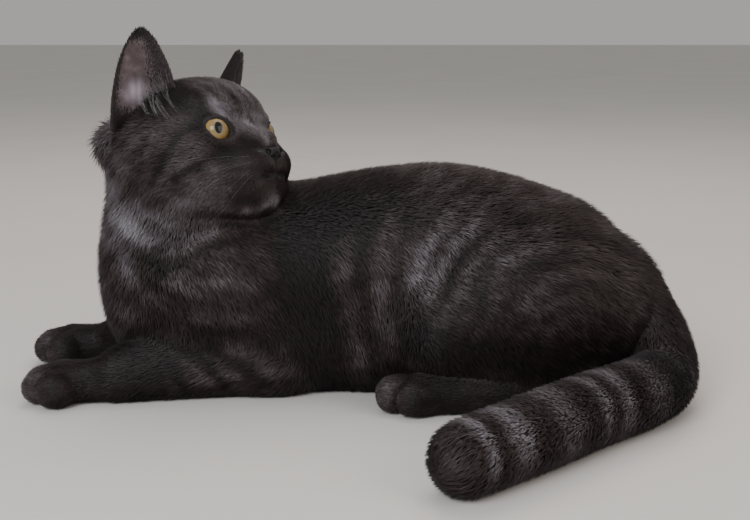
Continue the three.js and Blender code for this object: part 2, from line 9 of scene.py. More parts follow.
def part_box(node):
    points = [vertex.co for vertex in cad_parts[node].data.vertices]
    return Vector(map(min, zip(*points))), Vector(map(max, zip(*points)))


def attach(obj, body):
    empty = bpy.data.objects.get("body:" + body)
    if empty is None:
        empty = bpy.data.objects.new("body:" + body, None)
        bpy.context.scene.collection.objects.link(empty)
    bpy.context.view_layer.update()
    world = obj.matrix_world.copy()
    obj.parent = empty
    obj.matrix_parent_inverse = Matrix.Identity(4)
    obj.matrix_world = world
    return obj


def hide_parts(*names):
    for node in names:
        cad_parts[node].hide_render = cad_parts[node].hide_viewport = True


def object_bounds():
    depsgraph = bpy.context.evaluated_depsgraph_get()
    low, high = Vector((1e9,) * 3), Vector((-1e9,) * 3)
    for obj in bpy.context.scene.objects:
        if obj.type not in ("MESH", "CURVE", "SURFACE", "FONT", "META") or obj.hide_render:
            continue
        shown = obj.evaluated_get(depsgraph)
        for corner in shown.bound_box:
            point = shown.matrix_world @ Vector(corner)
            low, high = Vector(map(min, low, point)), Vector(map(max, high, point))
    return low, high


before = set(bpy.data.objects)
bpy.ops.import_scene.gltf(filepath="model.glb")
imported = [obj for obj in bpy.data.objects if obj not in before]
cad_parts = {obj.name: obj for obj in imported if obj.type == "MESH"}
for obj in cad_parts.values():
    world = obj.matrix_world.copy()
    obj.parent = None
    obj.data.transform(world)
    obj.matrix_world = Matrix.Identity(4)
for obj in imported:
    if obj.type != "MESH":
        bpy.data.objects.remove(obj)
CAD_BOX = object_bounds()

MM = 0.001
RANDOM = np.random.default_rng(11)

# ---- Driving sizes -----------------------------------------------------------
MIDLINE_Y, MIDLINE_LEAN = 72.5, -0.05
BACK_HEIGHT = 150
CHEST_WIDTH, HAUNCH_WIDTH = 104, 124
FOREARM_RADIUS = 17
PAW_HALF_HEIGHT = 14
PAW_Z = PAW_HALF_HEIGHT - 1
TAIL_RADIUS = 22.5
HEAD_CENTRE = np.array([-98.0, 72.0, 159.0])
HEAD_YAW, HEAD_PITCH, HEAD_ROLL = 33, 8, 7
EYE_RADIUS = 11.0
EYE_AT = (27.5, 21.5, 7.5)  # forward, to the side and up from the head's centre
EAR_WIDTH = 48
SOLE_GAP = 0.4  # the skin ends this far above the floor
TOE_LENGTH = 26.0
SCRUFF_AT = np.array([-156.0, 84.0, 160.0])

NET_CELL = 3.0  # the grid that the skin is first drawn on
NET_MARGIN = 9.0
CROWN_CLEAR = 56  # from the head's centre to above its crown, without the ears
HEAD_ZONE, PAW_ZONE, FACE_ZONE = 54, 38, 33  # the skin is drawn finer this near to each
FACE_MIDDLE, FACE_REACH = (30, 0, -5), 62  # the ball that holds the finer forms of the face
SETTLING_STEPS, LONGEST_STEP = 4, 1.5  # the drawn skin's moves onto its true surface
WAVES = 6  # sine waves in a random field


# ---- Small helpers -----------------------------------------------------------
def unit(v):
    v = np.asarray(v, float)
    return v / np.maximum(np.linalg.norm(v, axis=-1, keepdims=True), 1e-9)


def mix(a, b, t):
    return a + (b - a) * t


def ramp(x, low, high):
    """0 up to low, 1 from high on, and smooth between."""
    t = np.clip((x - low) / (high - low), 0, 1)
    return t * t * (3 - 2 * t)


def dots(a, b):
    return (a * b).sum(-1)


def wander(p, size, seed):
    """A smooth random field between about -1 and 1, with features about `size` across."""
    spin = np.random.default_rng(seed)
    total = np.zeros(len(p))
    for _ in range(WAVES):
        way = unit(spin.normal(size=3)) * spin.uniform(0.7, 1.5) * 2 * math.pi / (2 * size)
        total += np.sin(p @ way + spin.uniform(0, 2 * math.pi))
    return total / (WAVES / 2)


# ---- Distance fields ---------------------------------------------------------
FAR = 90.0
REACH = 36.0  # a shape is only worked out this near its own box, which is more than any crease
BATCH = 40000  # points worked out at once


def blend(a, b, k):
    """The lower of two distances, with a rounded crease about k wide."""
    h = np.maximum(k - np.abs(a - b), 0) / k
    return np.minimum(a, b) - h * h * k / 4


def carve(a, b, k):
    """What is left of a when b is cut out of it, with a rounded edge."""
    return -blend(-a, b, k)


def oval_distance(q, radii):
    k0 = np.linalg.norm(q / radii, axis=1)
    k1 = np.linalg.norm(q / radii ** 2, axis=1)
    return k0 * (k0 - 1) / np.maximum(k1, 1e-9)


def smooth_curve(stations, steps=6):
    """Points along a centripetal Catmull-Rom curve through the stations."""
    s = np.vstack([2 * stations[0] - stations[1], stations, 2 * stations[-1] - stations[-2]])
    points = []
    for x0, x1, x2, x3 in zip(s, s[1:], s[2:], s[3:]):
        d0, d1, d2 = (np.linalg.norm(b - a) ** 0.5 for a, b in ((x0, x1), (x1, x2), (x2, x3)))
        d1 = d1 if d1 > 1e-4 else 1.0
        d0 = d0 if d0 > 1e-4 else d1
        d2 = d2 if d2 > 1e-4 else d1
        leave = ((x1 - x0) / d0 - (x2 - x0) / (d0 + d1) + (x2 - x1) / d1) * d1
        arrive = ((x2 - x1) / d1 - (x3 - x1) / (d1 + d2) + (x3 - x2) / d2) * d1
        for t in np.arange(steps) / steps:
            points.append(
                x1 + leave * t + (3 * (x2 - x1) - 2 * leave - arrive) * t ** 2
                + (2 * (x1 - x2) + leave + arrive) * t ** 3
            )
    return np.array(points + [stations[-1]])


class Shape:
    """A distance field, worked out only near the box from low to high."""

    def __call__(self, p):
        out = np.full(len(p), FAR)
        close = np.all((p > self.low - REACH) & (p < self.high + REACH), axis=1)
        if close.any():
            out[close] = self.distance(p[close])
        return out


class Oval(Shape):
    """An ellipsoid; axes are the directions of its three radii."""

    def __init__(self, at, radii, axes=np.eye(3)):
        self.at, self.radii, self.axes = np.array(at, float), np.array(radii, float), axes
        half = np.abs(axes.T) @ self.radii
        self.low, self.high = self.at - half, self.at + half

    def distance(self, p):
        return oval_distance((p - self.at) @ self.axes.T, self.radii)


class Tube(Shape):
    """A tube along a smooth spine. Each station is x, y, z, half width and half height."""

    def __init__(self, stations, up=(0, 0, 1)):
        stations = np.array(stations, float)
        self.at, self.size = smooth_curve(stations[:, :3]), smooth_curve(stations[:, 3:])
        self.up = np.array(up, float)
        self.step = np.diff(self.at, axis=0)
        ahead, behind = np.vstack([self.at[1:], self.at[-1:]]), np.vstack([self.at[:1], self.at[:-1]])
        self.way = unit(ahead - behind)
        self.run = np.concatenate([[0], np.cumsum(np.linalg.norm(self.step, axis=1))])
        self.low, self.high = self.at.min(0) - self.size.max(), self.at.max(0) + self.size.max()

    def place(self, p):
        """The nearest spot of the spine to each point: a segment of it and the share along that."""
        reach = dots(self.step, self.step)
        segment, share = np.zeros(len(p), int), np.zeros(len(p))
        for first in range(0, len(p), BATCH):
            q = p[first:first + BATCH]
            along = q @ self.step.T - dots(self.at[:-1], self.step)
            t = np.clip(along / reach, 0, 1)
            away = dots(self.at[:-1], self.at[:-1]) - 2 * q @ self.at[:-1].T
            away = away - 2 * t * along + t * t * reach
            best = away.argmin(1)
            segment[first:first + BATCH] = best
            share[first:first + BATCH] = t[np.arange(len(q)), best]
        return segment, share

    def between(self, values, place):
        segment, share = place
        share = share if values.ndim == 1 else share[:, None]
        return mix(values[segment], values[segment + 1], share)

    def local(self, p):
        """Each point's offset from the spine: to the side, up and along; and its place."""
        place = self.place(p)
        along = unit(self.between(self.way, place))
        side = unit(np.cross(self.up, along))
        q = p - self.between(self.at, place)
        return np.column_stack([dots(q, side), dots(q, np.cross(along, side)), dots(q, along)]), place

    def distance(self, p):
        q, place = self.local(p)
        size = self.between(self.size, place)
        return oval_distance(q, np.column_stack([size, size.min(1)]))

    def flow(self, p):
        return unit(self.between(self.way, self.place(p)))


class Blend(Shape):
    """Several shapes joined with rounded creases about k wide."""

    def __init__(self, shapes, k):
        self.shapes, self.k = shapes, k
        self.low = np.min([s.low for s in shapes], axis=0)
        self.high = np.max([s.high for s in shapes], axis=0)

    def distance(self, p):
        d = np.full(len(p), FAR)
        for shape in self.shapes:
            d = blend(d, shape(p), self.k)
        return d


# ---- Head frame --------------------------------------------------------------
yaw, pitch, roll = (math.radians(a) for a in (HEAD_YAW, HEAD_PITCH, HEAD_ROLL))
LEVEL = np.array([math.cos(yaw), -math.sin(yaw), 0])
SIDEWAYS = np.array([math.sin(yaw), math.cos(yaw), 0])
UPWARDS = np.array([0, 0, 1.0])
FORWARD = LEVEL * math.cos(pitch) + UPWARDS * math.sin(pitch)
UPRIGHT = UPWARDS * math.cos(pitch) - LEVEL * math.sin(pitch)
LEFT = SIDEWAYS * math.cos(roll) - UPRIGHT * math.sin(roll)
UP = UPRIGHT * math.cos(roll) + SIDEWAYS * math.sin(roll)
HEAD_AXES = np.array([FORWARD, LEFT, UP])


def in_head(*places):
    """Points of the plan from places forward, to the left and up from the head's centre."""
    return HEAD_CENTRE + np.squeeze(np.atleast_2d(np.array(places, float)) @ HEAD_AXES)


def head_place(p):
    return (p - HEAD_CENTRE) @ HEAD_AXES.T


def head_oval(place, radii):
    return Oval(in_head(*place), radii, HEAD_AXES)


eye_low, eye_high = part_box("eye_right")
eye_middle = np.array((eye_low + eye_high) / 2) / MM
SHIFT = eye_middle - in_head(EYE_AT[0], -EYE_AT[1], EYE_AT[2])


# ---- The body's parts --------------------------------------------------------
def barrel():
    """The trunk, from rows of place along the body, half width, underside and back."""
    chest, haunch, back = CHEST_WIDTH / 2, HAUNCH_WIDTH / 2, BACK_HEIGHT
    rows = [
        (-124, chest - 8, 8, back - 30),
        (-80, chest - 2, 4, back - 18),
        (-30, chest, -2, back - 12),
        (20, chest + 4, -7, back - 3),
        (60, haunch - 2, -10, back),
        (100, haunch, -10, back - 8),
        (134, haunch - 2, -7, back - 22),
        (156, haunch - 14, -4, back - 42),
    ]
    return Tube([
        (x, MIDLINE_Y + MIDLINE_LEAN * x, (low + top) / 2, half, (top - low) / 2)
        for x, half, low, top in rows
    ])


CLEFT_WIDTH, CLEFT_DEPTH = 1.5, 2.2
TOES_END = (6, 12)  # what belongs to the toes fades out at this distance from them


class Paw(Blend):
    """A pad and its toes, with clefts between the toes."""

    def __init__(self, pad, toes, tip, along):
        super().__init__([pad, Blend(toes, 2)], 6)
        self.toes, self.tip, self.along = toes, tip, along

    def clefts(self, p):
        """1 midway between two toes, 0 on a toe, behind the knuckles and away from the paw."""
        nearest = np.sort([toe(p) for toe in self.toes], axis=0)
        front = ramp((p - self.tip) @ self.along, -TOE_LENGTH, -0.6 * TOE_LENGTH)
        between = np.exp(-((nearest[1] - nearest[0]) / CLEFT_WIDTH) ** 2)
        return between * front * (1 - ramp(nearest[0], *TOES_END))

    def fronts(self, p):
        """1 at the tips of the toes, 0 from a toe's length behind them and away from the paw."""
        nearest = np.min([toe(p) for toe in self.toes], axis=0)
        return ramp((p - self.tip) @ self.along, -0.7 * TOE_LENGTH, 0) * (1 - ramp(nearest, *TOES_END))

    def distance(self, p):
        return super().distance(p) + CLEFT_DEPTH * self.clefts(p)


def paw(heel, tip, half_width, toe_radius):
    """A pad with four toes in a fan round its front."""
    heel, tip = np.array(heel, float), np.array(tip, float)
    along = unit((tip - heel) * [1, 1, 0])
    across = np.cross(UPWARDS, along)
    height = PAW_HALF_HEIGHT
    knuckle = mix(heel, tip, 0.6)
    pad = Tube([[*heel, height - 2, height], [*knuckle, half_width, height]])
    toes = []
    for step in (-1.5, -0.5, 0.5, 1.5):
        back = toe_radius * (2.3 if abs(step) > 1 else 0.9)
        at = tip - along * back + across * step * half_width * 0.56
        at[2] = height - 3
        axes = np.array([along, across, UPWARDS])
        toes.append(Oval(at, (toe_radius * 1.5, toe_radius, height - 2), axes))
    return Paw(pad, toes, tip, along)


BARREL = barrel()
NECK = Tube([(-112, 76, 58, 44, 51), (-114, 75, 100, 46, 53), (-113, 74, 138, 44, 52)], up=(1, 0, 0))
# Shoulder, elbow, wrist and tip of each foreleg; hip, knee, hock and tip of each hindleg.
FORELEGS = {
    "left": np.array([(-100, 41, 86), (-52, 40, 22), (-150, 23, 16), (-208, 19, PAW_Z)], float),
    "right": np.array([(-100, 112, 86), (-52, 112, 22), (-166, 108, 16), (-226, 106, PAW_Z)], float),
}
HINDLEGS = {
    "left": np.array([(122, 26, 64), (58, 14, 42), (148, 10, 15), (20, 1, PAW_Z)], float),
    "right": np.array([(122, 107, 64), (58, 118, 42), (148, 122, 15), (20, 134, PAW_Z)], float),
}
TAIL = Tube([
    (154, 65, 78, TAIL_RADIUS + 2, TAIL_RADIUS + 2),
    (180, 55, 65, TAIL_RADIUS + 1, TAIL_RADIUS + 1),
    (197, 35, 43, TAIL_RADIUS, TAIL_RADIUS),
    (198, 8, TAIL_RADIUS, TAIL_RADIUS, TAIL_RADIUS),
    (178, -23, TAIL_RADIUS - 1, TAIL_RADIUS, TAIL_RADIUS),
    (142, -54, TAIL_RADIUS - 1, TAIL_RADIUS, TAIL_RADIUS),
    (103, -90, TAIL_RADIUS - 1, TAIL_RADIUS, TAIL_RADIUS),
    (62, -125, TAIL_RADIUS - 2, TAIL_RADIUS - 1, TAIL_RADIUS - 1),
])


def foreleg(shoulder, elbow, wrist):
    """An upper arm down to the floor and a forearm lying on it."""
    middle = mix(elbow, wrist, 0.5)
    upper = Tube([(*shoulder, 24, 34), (*elbow, 19, 24)])
    lower = Tube([
        (*elbow, FOREARM_RADIUS + 3, FOREARM_RADIUS + 5),
        (*middle, FOREARM_RADIUS + 1, FOREARM_RADIUS + 4),
        (*wrist, FOREARM_RADIUS - 1, FOREARM_RADIUS + 1),
    ])
    return Blend([upper, lower], 16)


def hindleg(hip, knee, hock):
    """A folded leg: the broad thigh, the knee and the shank back to the hock."""
    thigh = Oval(hip, (62, 32, 52))
    knee_cap = Tube([(*hip, 28, 40), (*knee, 19, 27)])
    shank = Tube([(*knee, 16, 22), (*hock, 13, 15)])
    return Blend([thigh, knee_cap, shank], 18)


def hindpaw(hock, tip):
    """The long sole from the hock, with the paw at its front."""
    spots = [mix(hock, tip, share) for share in (0, 0.4, 0.8)]
    sole = Tube([(x, y, PAW_Z, half, 14) for (x, y, _), half in zip(spots, (14, 15.5, 17))])
    return Blend([sole, paw((*spots[1][:2], PAW_Z), tip, 14.5, 8)], 10)


def skull():
    """The head without ears: cranium, cheeks and jaw, with the muzzle and its two pads."""
    def both(f, l, u, radii):
        return [head_oval((f, l, u), radii), head_oval((f, -l, u), radii)]

    cranium = Blend([
        head_oval((-9, 0, 10), (43, 44, 37.5)),
        head_oval((14, 0, 16), (27, 32, 24)),
        *both(3, 27, -13, (33, 25, 27)),
        head_oval((8, 0, -24), (38, 30, 20)),
        *both(20, 16, -30, (27, 19, 19)),
    ], 16)
    muzzle = Blend([
        head_oval((36, 0, -14), (23, 24, 17)),
        head_oval((40, 0, 2), (19, 10, 10)),
        head_oval((40, 0, -31), (18, 16, 14)),
    ], 10)
    pads = Blend(both(46, 10, -14, (14, 12.5, 11)), 4)
    return Blend([Blend([cranium, muzzle], 18), pads], 6)


PARTS = {
    "trunk": Blend([BARREL, Oval((14, MIDLINE_Y + MIDLINE_LEAN * 14, 32), (84, 52, 42))], 20),
    "neck": Blend([NECK, Oval(SCRUFF_AT, (21, 22, 19))], 14),
    "head": skull(),
    "foreleg_left": foreleg(*FORELEGS["left"][:3]),
    "foreleg_right": foreleg(*FORELEGS["right"][:3]),
    "forepaw_left": paw((-158, 23, PAW_Z), FORELEGS["left"][3], 18, 8),
    "forepaw_right": paw((-174, 108, PAW_Z), FORELEGS["right"][3], 18, 8),
    "hindleg_left": hindleg(*HINDLEGS["left"][:3]),
    "hindleg_right": hindleg(*HINDLEGS["right"][:3]),
    "hindpaw_left": hindpaw(*HINDLEGS["left"][2:]),
    "hindpaw_right": hindpaw(*HINDLEGS["right"][2:]),
    "tail": TAIL,
}
NAMES = list(PARTS)
PAWS = [
    shape if isinstance(shape, Paw) else shape.shapes[1]
    for name, shape in PARTS.items() if "paw" in name
]


def part_distances(p):
    return {name: shape(p) for name, shape in PARTS.items()}


# How wide the crease is where each part meets the rest.
NECK_CREASE = 30
LIMB_CREASES = {"hindleg": 32, "foreleg": 32, "forepaw": 8, "hindpaw": 4}


def coat_surface(p, d=None):
    """The outer surface of the coat, out to the tips of the hair, without the ears."""
    d = d or part_distances(p)
    body = blend(d["trunk"], d["neck"], NECK_CREASE)
    for limb, crease in LIMB_CREASES.items():
        body = blend(body, np.minimum(d[limb + "_left"], d[limb + "_right"]), crease)
    at_rump = np.clip((p[:, 1] - 20) / 30, 0, 1)
    body = blend(body, d["tail"], mix(2, 16, at_rump))
    to_nape = np.clip((34 - (p - HEAD_CENTRE) @ FORWARD) / 36, 0, 1)
    return blend(body, d["head"], mix(3, 16, to_nape))


# ---- The coat's traits -------------------------------------------------------
# Depth from the skin to the tips, the hairs' length and width, and tufts on a square millimetre.
# Real hairs are finer and far more: each tuft stands for a lock of them.
COAT = {
    "trunk": (5.2, 9.5, 0.6, 0.82),
    "neck": (6.0, 10.0, 0.6, 1.02),
    "foreleg": (3.4, 7.0, 0.55, 1.08),
    "forepaw": (1.4, 3.6, 0.45, 2.0),
    "hindleg": (4.8, 9.5, 0.6, 0.85),
    "hindpaw": (1.6, 4.0, 0.46, 1.8),
    "tail": (4.6, 9.0, 0.64, 1.08),
}
NOSE_COAT = (0.8, 2.2, 0.4, 3.2)
NAPE_COAT = (5.5, 9.5, 0.6, 1.05)
EAR_COAT = (0.5, 2.8, 0.45, 2.6)


def part_shares(d):
    """How much of each part a point belongs to."""
    distance = np.array([d[name] for name in NAMES])
    weight = np.exp(-(distance - distance.min(0)) / 5.0)
    return weight / weight.sum(0)


def coat_traits(p, share):
    """Depth, length, width and number of hairs at each point, in four columns."""
    back = (np.clip((54 - head_place(p)[:, 0]) / 80, 0, 1) ** 1.15)[:, None]
    head = mix(np.array(NOSE_COAT), np.array(NAPE_COAT), back)
    total = np.zeros((len(p), 4))
    for name, weight in zip(NAMES, share):
        total += weight[:, None] * (head if name == "head" else np.array(COAT[name.split("_")[0]]))
    return total


# ---- Face --------------------------------------------------------------------
LID = 1.1  # the lids' thickness
ORBIT_AT = (EYE_RADIUS + 3, 1, 0)  # the shallow bowl round each eye
ORBIT_RADII = np.array([5.0, 12, 8])
EYE_PLAY = 0.1  # the ball is this much smaller than its socket
CORNEA_BULGE, CORNEA_EDGE = 0.7, math.radians(42)
GAZE_SIDE, GAZE_UP = math.radians(27), math.radians(4)  # where the opening of each eye faces
LIDS_WIDE, LIDS_HIGH = 8.3, 5.9  # half the opening between the lids
LIDS_TILT = math.radians(26)  # the outer corner is the higher one
LIDS_ROUND = 1.75  # the power of the lids' almond; 2 would be an oval
TILT_COS, TILT_SIN = math.cos(LIDS_TILT), math.sin(LIDS_TILT)
PUPIL_WIDE, PUPIL_HIGH = 2.45, 3.8  # half of each
PUPIL_OFF = 0.9  # outwards and up from the middle of the lids
# The mouth's line: forward, to the side, up and radius.
MOUTH_LINE = [
    (60, 0, -14, 0.6), (60, 0, -20, 0.9), (57.5, 7, -21.5, 1.8),
    (54.5, 12, -23.5, 0.9), (51, 15.5, -26, 0.4),
]


def eye_axes(side):
    """Where an eye's opening faces, towards its outer corner, and up."""
    gaze = unit([math.cos(GAZE_SIDE), side * math.sin(GAZE_SIDE), math.tan(GAZE_UP)])
    outward = unit(np.cross([0, 0, 1], gaze) * side)
    high = unit(np.cross(gaze, outward) * side)
    corner = outward * TILT_COS + high * TILT_SIN
    return np.array([gaze, corner, high * TILT_COS - outward * TILT_SIN])


def eye_place(q, side):
    """Points of the head in an eye's own axes: out of the head, to its outer corner and up."""
    return (q - np.array(EYE_AT) * [1, side, 1]) @ eye_axes(side).T


def opening(e):
    """How far a point lies outside the almond between the lids; less than 0 inside it."""
    across = (np.abs(e[:, 1]) / LIDS_WIDE) ** LIDS_ROUND + (np.abs(e[:, 2]) / LIDS_HIGH) ** LIDS_ROUND
    return (across ** (1 / LIDS_ROUND) - 1) * LIDS_HIGH


def mouth_tubes():
    """The line of the closed mouth, one half on each side."""
    tubes = []
    for side in (-1, 1):
        tubes.append(Tube([(*in_head((f, side * l, u)), r, r) for f, l, u, r in MOUTH_LINE]))
    return tubes


MOUTH = mouth_tubes()
CHIN = head_oval((46, 0, -33), (8, 9, 7))
STOP = head_oval((55, 0, 16), (14, 9, 8))  # the dip between the forehead and the nose
# Each nostril and the slit behind it: forward, to the side, up and radius.
NOSTRIL = np.array([
    (58.0, 5.6, -7.2, 2.0), (56.4, 8.2, -6.9, 1.6), (54.6, 10.6, -6.6, 1.3), (52.4, 12.6, -6.2, 0.9),
])


def on_side(q, side):
    """Points of the head with both halves laid over the half on that side."""
    return q * [1, 0, 1] + side * np.abs(q) * [0, 1, 0]


def nostrils(q):
    """How far points of the head are from the nostrils, less than 0 in them."""
    half = on_side(q, 1)
    return np.min([np.linalg.norm(half - at[:3], axis=1) - at[3] for at in NOSTRIL], axis=0)


def face(p, d):
    """The finer forms of the face, added to the distance d from the plain head."""
    close = np.linalg.norm(p - in_head(*FACE_MIDDLE), axis=1) < FACE_REACH
    near, value = p[close], d[close]
    q = head_place(near)
    for side in (-1, 1):
        e = eye_place(q, side)
        r = np.linalg.norm(e, axis=1)
        orbit = oval_distance(e - ORBIT_AT, ORBIT_RADII)
        value = carve(value, np.where(e[:, 0] > 0, orbit, FAR), 5)
        value = blend(value, r - EYE_RADIUS - LID, 3.5)
        slot = np.maximum(opening(e), np.maximum(EYE_RADIUS - 1.5 - r, -e[:, 0]))
        value = carve(value, slot, 0.7)
    value = blend(value, CHIN(near), 5)
    value = carve(value, STOP(near), 8)
    value = carve(value, nostrils(q), 0.8)
    for tube in MOUTH:
        value = carve(value, tube(near), 1.6)
    out = d.copy()
    out[close] = value
    return out


def skin_surface(p):
    """The skin: the coat's surface moved in by the coat's depth, with the finer forms of the face."""
    d = part_distances(p)
    depth = coat_traits(p, part_shares(d))[:, 0]
    return np.maximum(face(p, coat_surface(p, d) + depth), SOLE_GAP - p[:, 2])


def slope(field, p, step=0.4):
    """The field and its slope at each point."""
    here = field(p)
    ahead = [field(p + np.eye(3)[axis] * step) for axis in range(3)]
    return here, (np.array(ahead) - here).T / step


# ---- Drawing a field as a closed mesh ----------------------------------------
CORNERS = np.array([[c & 1, c >> 1 & 1, c >> 2] for c in range(8)])


def settle(value):
    """Moves a corner just inside wherever only opposite corners of a grid square are inside."""
    moved = True
    while moved:
        moved = False
        for u, w in ((0, 1), (1, 2), (2, 0)):
            cut = [[slice(None)] * 3 for _ in range(4)]
            for ring, (du, dw) in zip(cut, ((0, 0), (1, 0), (1, 1), (0, 1))):
                ring[u] = slice(du, value.shape[u] - 1 + du)
                ring[w] = slice(dw, value.shape[w] - 1 + dw)
            a, b, c, d = (value[tuple(ring)] for ring in cut)
            odd = ((a < 0) == (c < 0)) & ((b < 0) == (d < 0)) & ((a < 0) != (b < 0))
            for here, other in ((a, c), (b, d), (c, a), (d, b)):
                pick = odd & (here >= 0) & (here <= other)
                moved = moved or bool(pick.any())
                here[pick] = -0.1
    return value


def surface_net(field, low, high, cell):
    """One vertex in each grid cell that the surface crosses, one face round each such edge."""
    lines = [np.arange(low[k], high[k] + cell, cell) for k in range(3)]
    shape = tuple(len(line) for line in lines)
    value = np.empty(shape)
    for i, x in enumerate(lines[0]):
        y, z = np.meshgrid(lines[1], lines[2], indexing="ij")
        value[i] = field(np.column_stack([np.full(y.size, x), y.ravel(), z.ravel()])).reshape(y.shape)
    value = settle(value)
    stride = np.array([shape[1] * shape[2], shape[2], 1])
    flat = value.ravel()
    count = sum(
        (value[a:a + shape[0] - 1, b:b + shape[1] - 1, c:c + shape[2] - 1] < 0).astype(int)
        for a, b, c in CORNERS
    )
    cells = np.argwhere((count > 0) & (count < 8))
    first = cells @ stride
    total, crossed = np.zeros((len(cells), 3)), np.zeros(len(cells))
    for a in CORNERS:
        for axis in np.flatnonzero(a == 0):
            b = a + np.eye(3, dtype=int)[axis]
            va, vb = flat[first + a @ stride], flat[first + b @ stride]
            cross = (va < 0) != (vb < 0)
            t = np.where(cross, va / np.where(cross, va - vb, 1), 0)[:, None]
            total += np.where(cross[:, None], mix(a, b, t), 0)
            crossed += cross
    points = np.array(low) + (cells + total / crossed[:, None]) * cell
    vertex_of = np.full(flat.size, -1)
    vertex_of[first] = np.arange(len(cells))
    faces = []
    for axis in range(3):
        u, w = stride[(axis + 1) % 3], stride[(axis + 2) % 3]
        inside = flat[first] < 0
        at = first[inside != (flat[first + stride[axis]] < 0)]
        ring = vertex_of[np.column_stack([at, at - u, at - u - w, at - w])]
        out = flat[at] >= 0
        ring[out] = ring[out][:, ::-1]
        faces.append(ring)
    return points, np.vstack(faces)


def as_mesh(name, points, faces):
    """A Blender mesh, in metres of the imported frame, from points of the plan."""
    mesh = bpy.data.meshes.new(name)
    corners = faces.shape[1]
    mesh.vertices.add(len(points))
    mesh.vertices.foreach_set("co", ((points + SHIFT) * MM).astype(np.float32).ravel())
    mesh.loops.add(faces.size)
    mesh.loops.foreach_set("vertex_index", faces.astype(np.int32).ravel())
    mesh.polygons.add(len(faces))
    mesh.polygons.foreach_set("loop_start", np.arange(0, faces.size, corners, dtype=np.int32))
    mesh.update(calc_edges=True)
    mesh.shade_smooth()
    return mesh


def place_object(name, mesh):
    thing = bpy.data.objects.new(name, mesh)
    bpy.context.scene.collection.objects.link(thing)
    return thing


def mesh_points(mesh):
    co = np.empty(len(mesh.vertices) * 3)
    mesh.vertices.foreach_get("co", co)
    return co.reshape(-1, 3) / MM - SHIFT


def mesh_triangles(mesh):
    mesh.calc_loop_triangles()
    corner = np.empty(len(mesh.loop_triangles) * 3, np.int32)
    mesh.loop_triangles.foreach_get("vertices", corner)
    return corner.reshape(-1, 3)


def paint(mesh, name, values):
    """Keeps a number or a vector for each vertex under that name, for the material to read."""
    kind, key = ("FLOAT", "value") if values.ndim == 1 else ("FLOAT_VECTOR", "vector")
    mesh.attributes.new(name, kind, "POINT").data.foreach_set(key, values.astype(np.float32).ravel())


def evaluated_mesh(thing):
    """A new mesh of the object as its modifiers leave it; the modifiers are then removed."""
    bpy.context.view_layer.update()
    mesh = bpy.data.meshes.new_from_object(thing.evaluated_get(bpy.context.evaluated_depsgraph_get()))
    thing.modifiers.clear()
    return mesh


# ---- Ears --------------------------------------------------------------------
# Each ear's side, root and tip, and which way its hollow faces: forwards and outwards.
EARS = {
    "left": (1, in_head(-15, 30, 20), in_head(-3, 44, 68), (0.42, 0.91)),
    "right": (-1, in_head(-20, -33, 18), in_head(-9, -44, 75), (0.56, 0.83)),
}
EAR_ROOT_DEPTH = 9
EAR_SKIN, EAR_ROOT_SKIN = 2.2, 8.0
EAR_ROWS, EAR_COLUMNS = 44, 30
EAR_INSET = 0.8  # the ear's skin ends this far inside its outline
EAR_HOLLOW = (15, 2)  # how deep the hollow is at the foot and at the tip
EAR_ROLL = 1.2  # how far the edge is rolled
EAR_STRANDS = 130
WISP_SPREAD = [[1.2], [0.7], [1.6]]  # how far a wisp's starts, bends and ends are strewn
WISP_ROOT = 3.0  # how deep its hairs start in the head
# Wisps of hair that rise from the side of the head over the foot of each ear: how many hairs, and
# where they start, bend and end, in millimetres forward, to the side and up from the head's centre.
EAR_WISPS = [
    (16, (-6, 43, 14), (-13, 41, 24), (-19, 37, 33)),
    (9, (-10, 43, 19), (-16, 38, 27), (-24, 35, 37)),
    (12, (0, 43.5, 16), (-6, 42, 25), (-11, 36, 36)),
    (7, (4, 42, 18), (-4, 42, 26), (-8, 35, 34)),
    (13, (9, 42.5, 16), (2, 41, 24), (-8, 36, 33)),
    (8, (12, 40, 20), (4, 38, 28), (-6, 32, 40)),
]


def ear_axes(side, base, tip, faces):
    high = unit(tip - base)
    aim = FORWARD * faces[0] + LEFT * side * faces[1]
    across = unit(np.cross(high, aim))
    return np.array([high, across, np.cross(across, high)]), float(np.linalg.norm(tip - base))


def ear_form(rise):
    """Half the width, the hollow's depth and half the thickness, at a share of the way up."""
    rise = np.clip(rise, 0, 1)
    half = (EAR_WIDTH / 2 - EAR_INSET) * (1 - 0.965 * rise ** 1.9) ** 0.64
    return half, mix(*EAR_HOLLOW, np.sqrt(rise)), mix(EAR_ROOT_SKIN, EAR_SKIN, np.sqrt(rise)) / 2


def ear_mesh(side, base, tip, faces):
    """A cupped leaf, open forwards and outwards, closed at its root and its tip."""
    axes, height = ear_axes(side, base, tip, faces)
    rise = np.linspace(0, 1, EAR_ROWS + 1)[:, None]
    angle = np.arange(2 * EAR_COLUMNS)[None] * math.pi / EAR_COLUMNS
    half, cup, thick = ear_form(rise)
    rim = EAR_ROLL * np.exp(-((np.abs(np.cos(angle)) - 0.93) / 0.06) ** 2) * (1 - rise)
    across = half * np.cos(angle)
    out = -cup * np.sin(angle) ** 2 + thick * np.sin(angle) + rim * np.sign(np.sin(angle)) * 0.3
    along = mix(-EAR_ROOT_DEPTH, height - EAR_INSET, rise) + 0 * angle
    points = base + np.stack([along, across, out], -1).reshape(-1, 3) @ axes
    turn = 2 * EAR_COLUMNS
    row, column = np.mgrid[0:EAR_ROWS, 0:turn]
    beside = (column + 1) % turn
    a, b = row * turn + column, row * turn + beside
    sheet = np.stack([a, a + turn, b + turn, b], -1).reshape(-1, 4)
    return points, sheet, np.arange(turn), np.arange(turn) + EAR_ROWS * turn


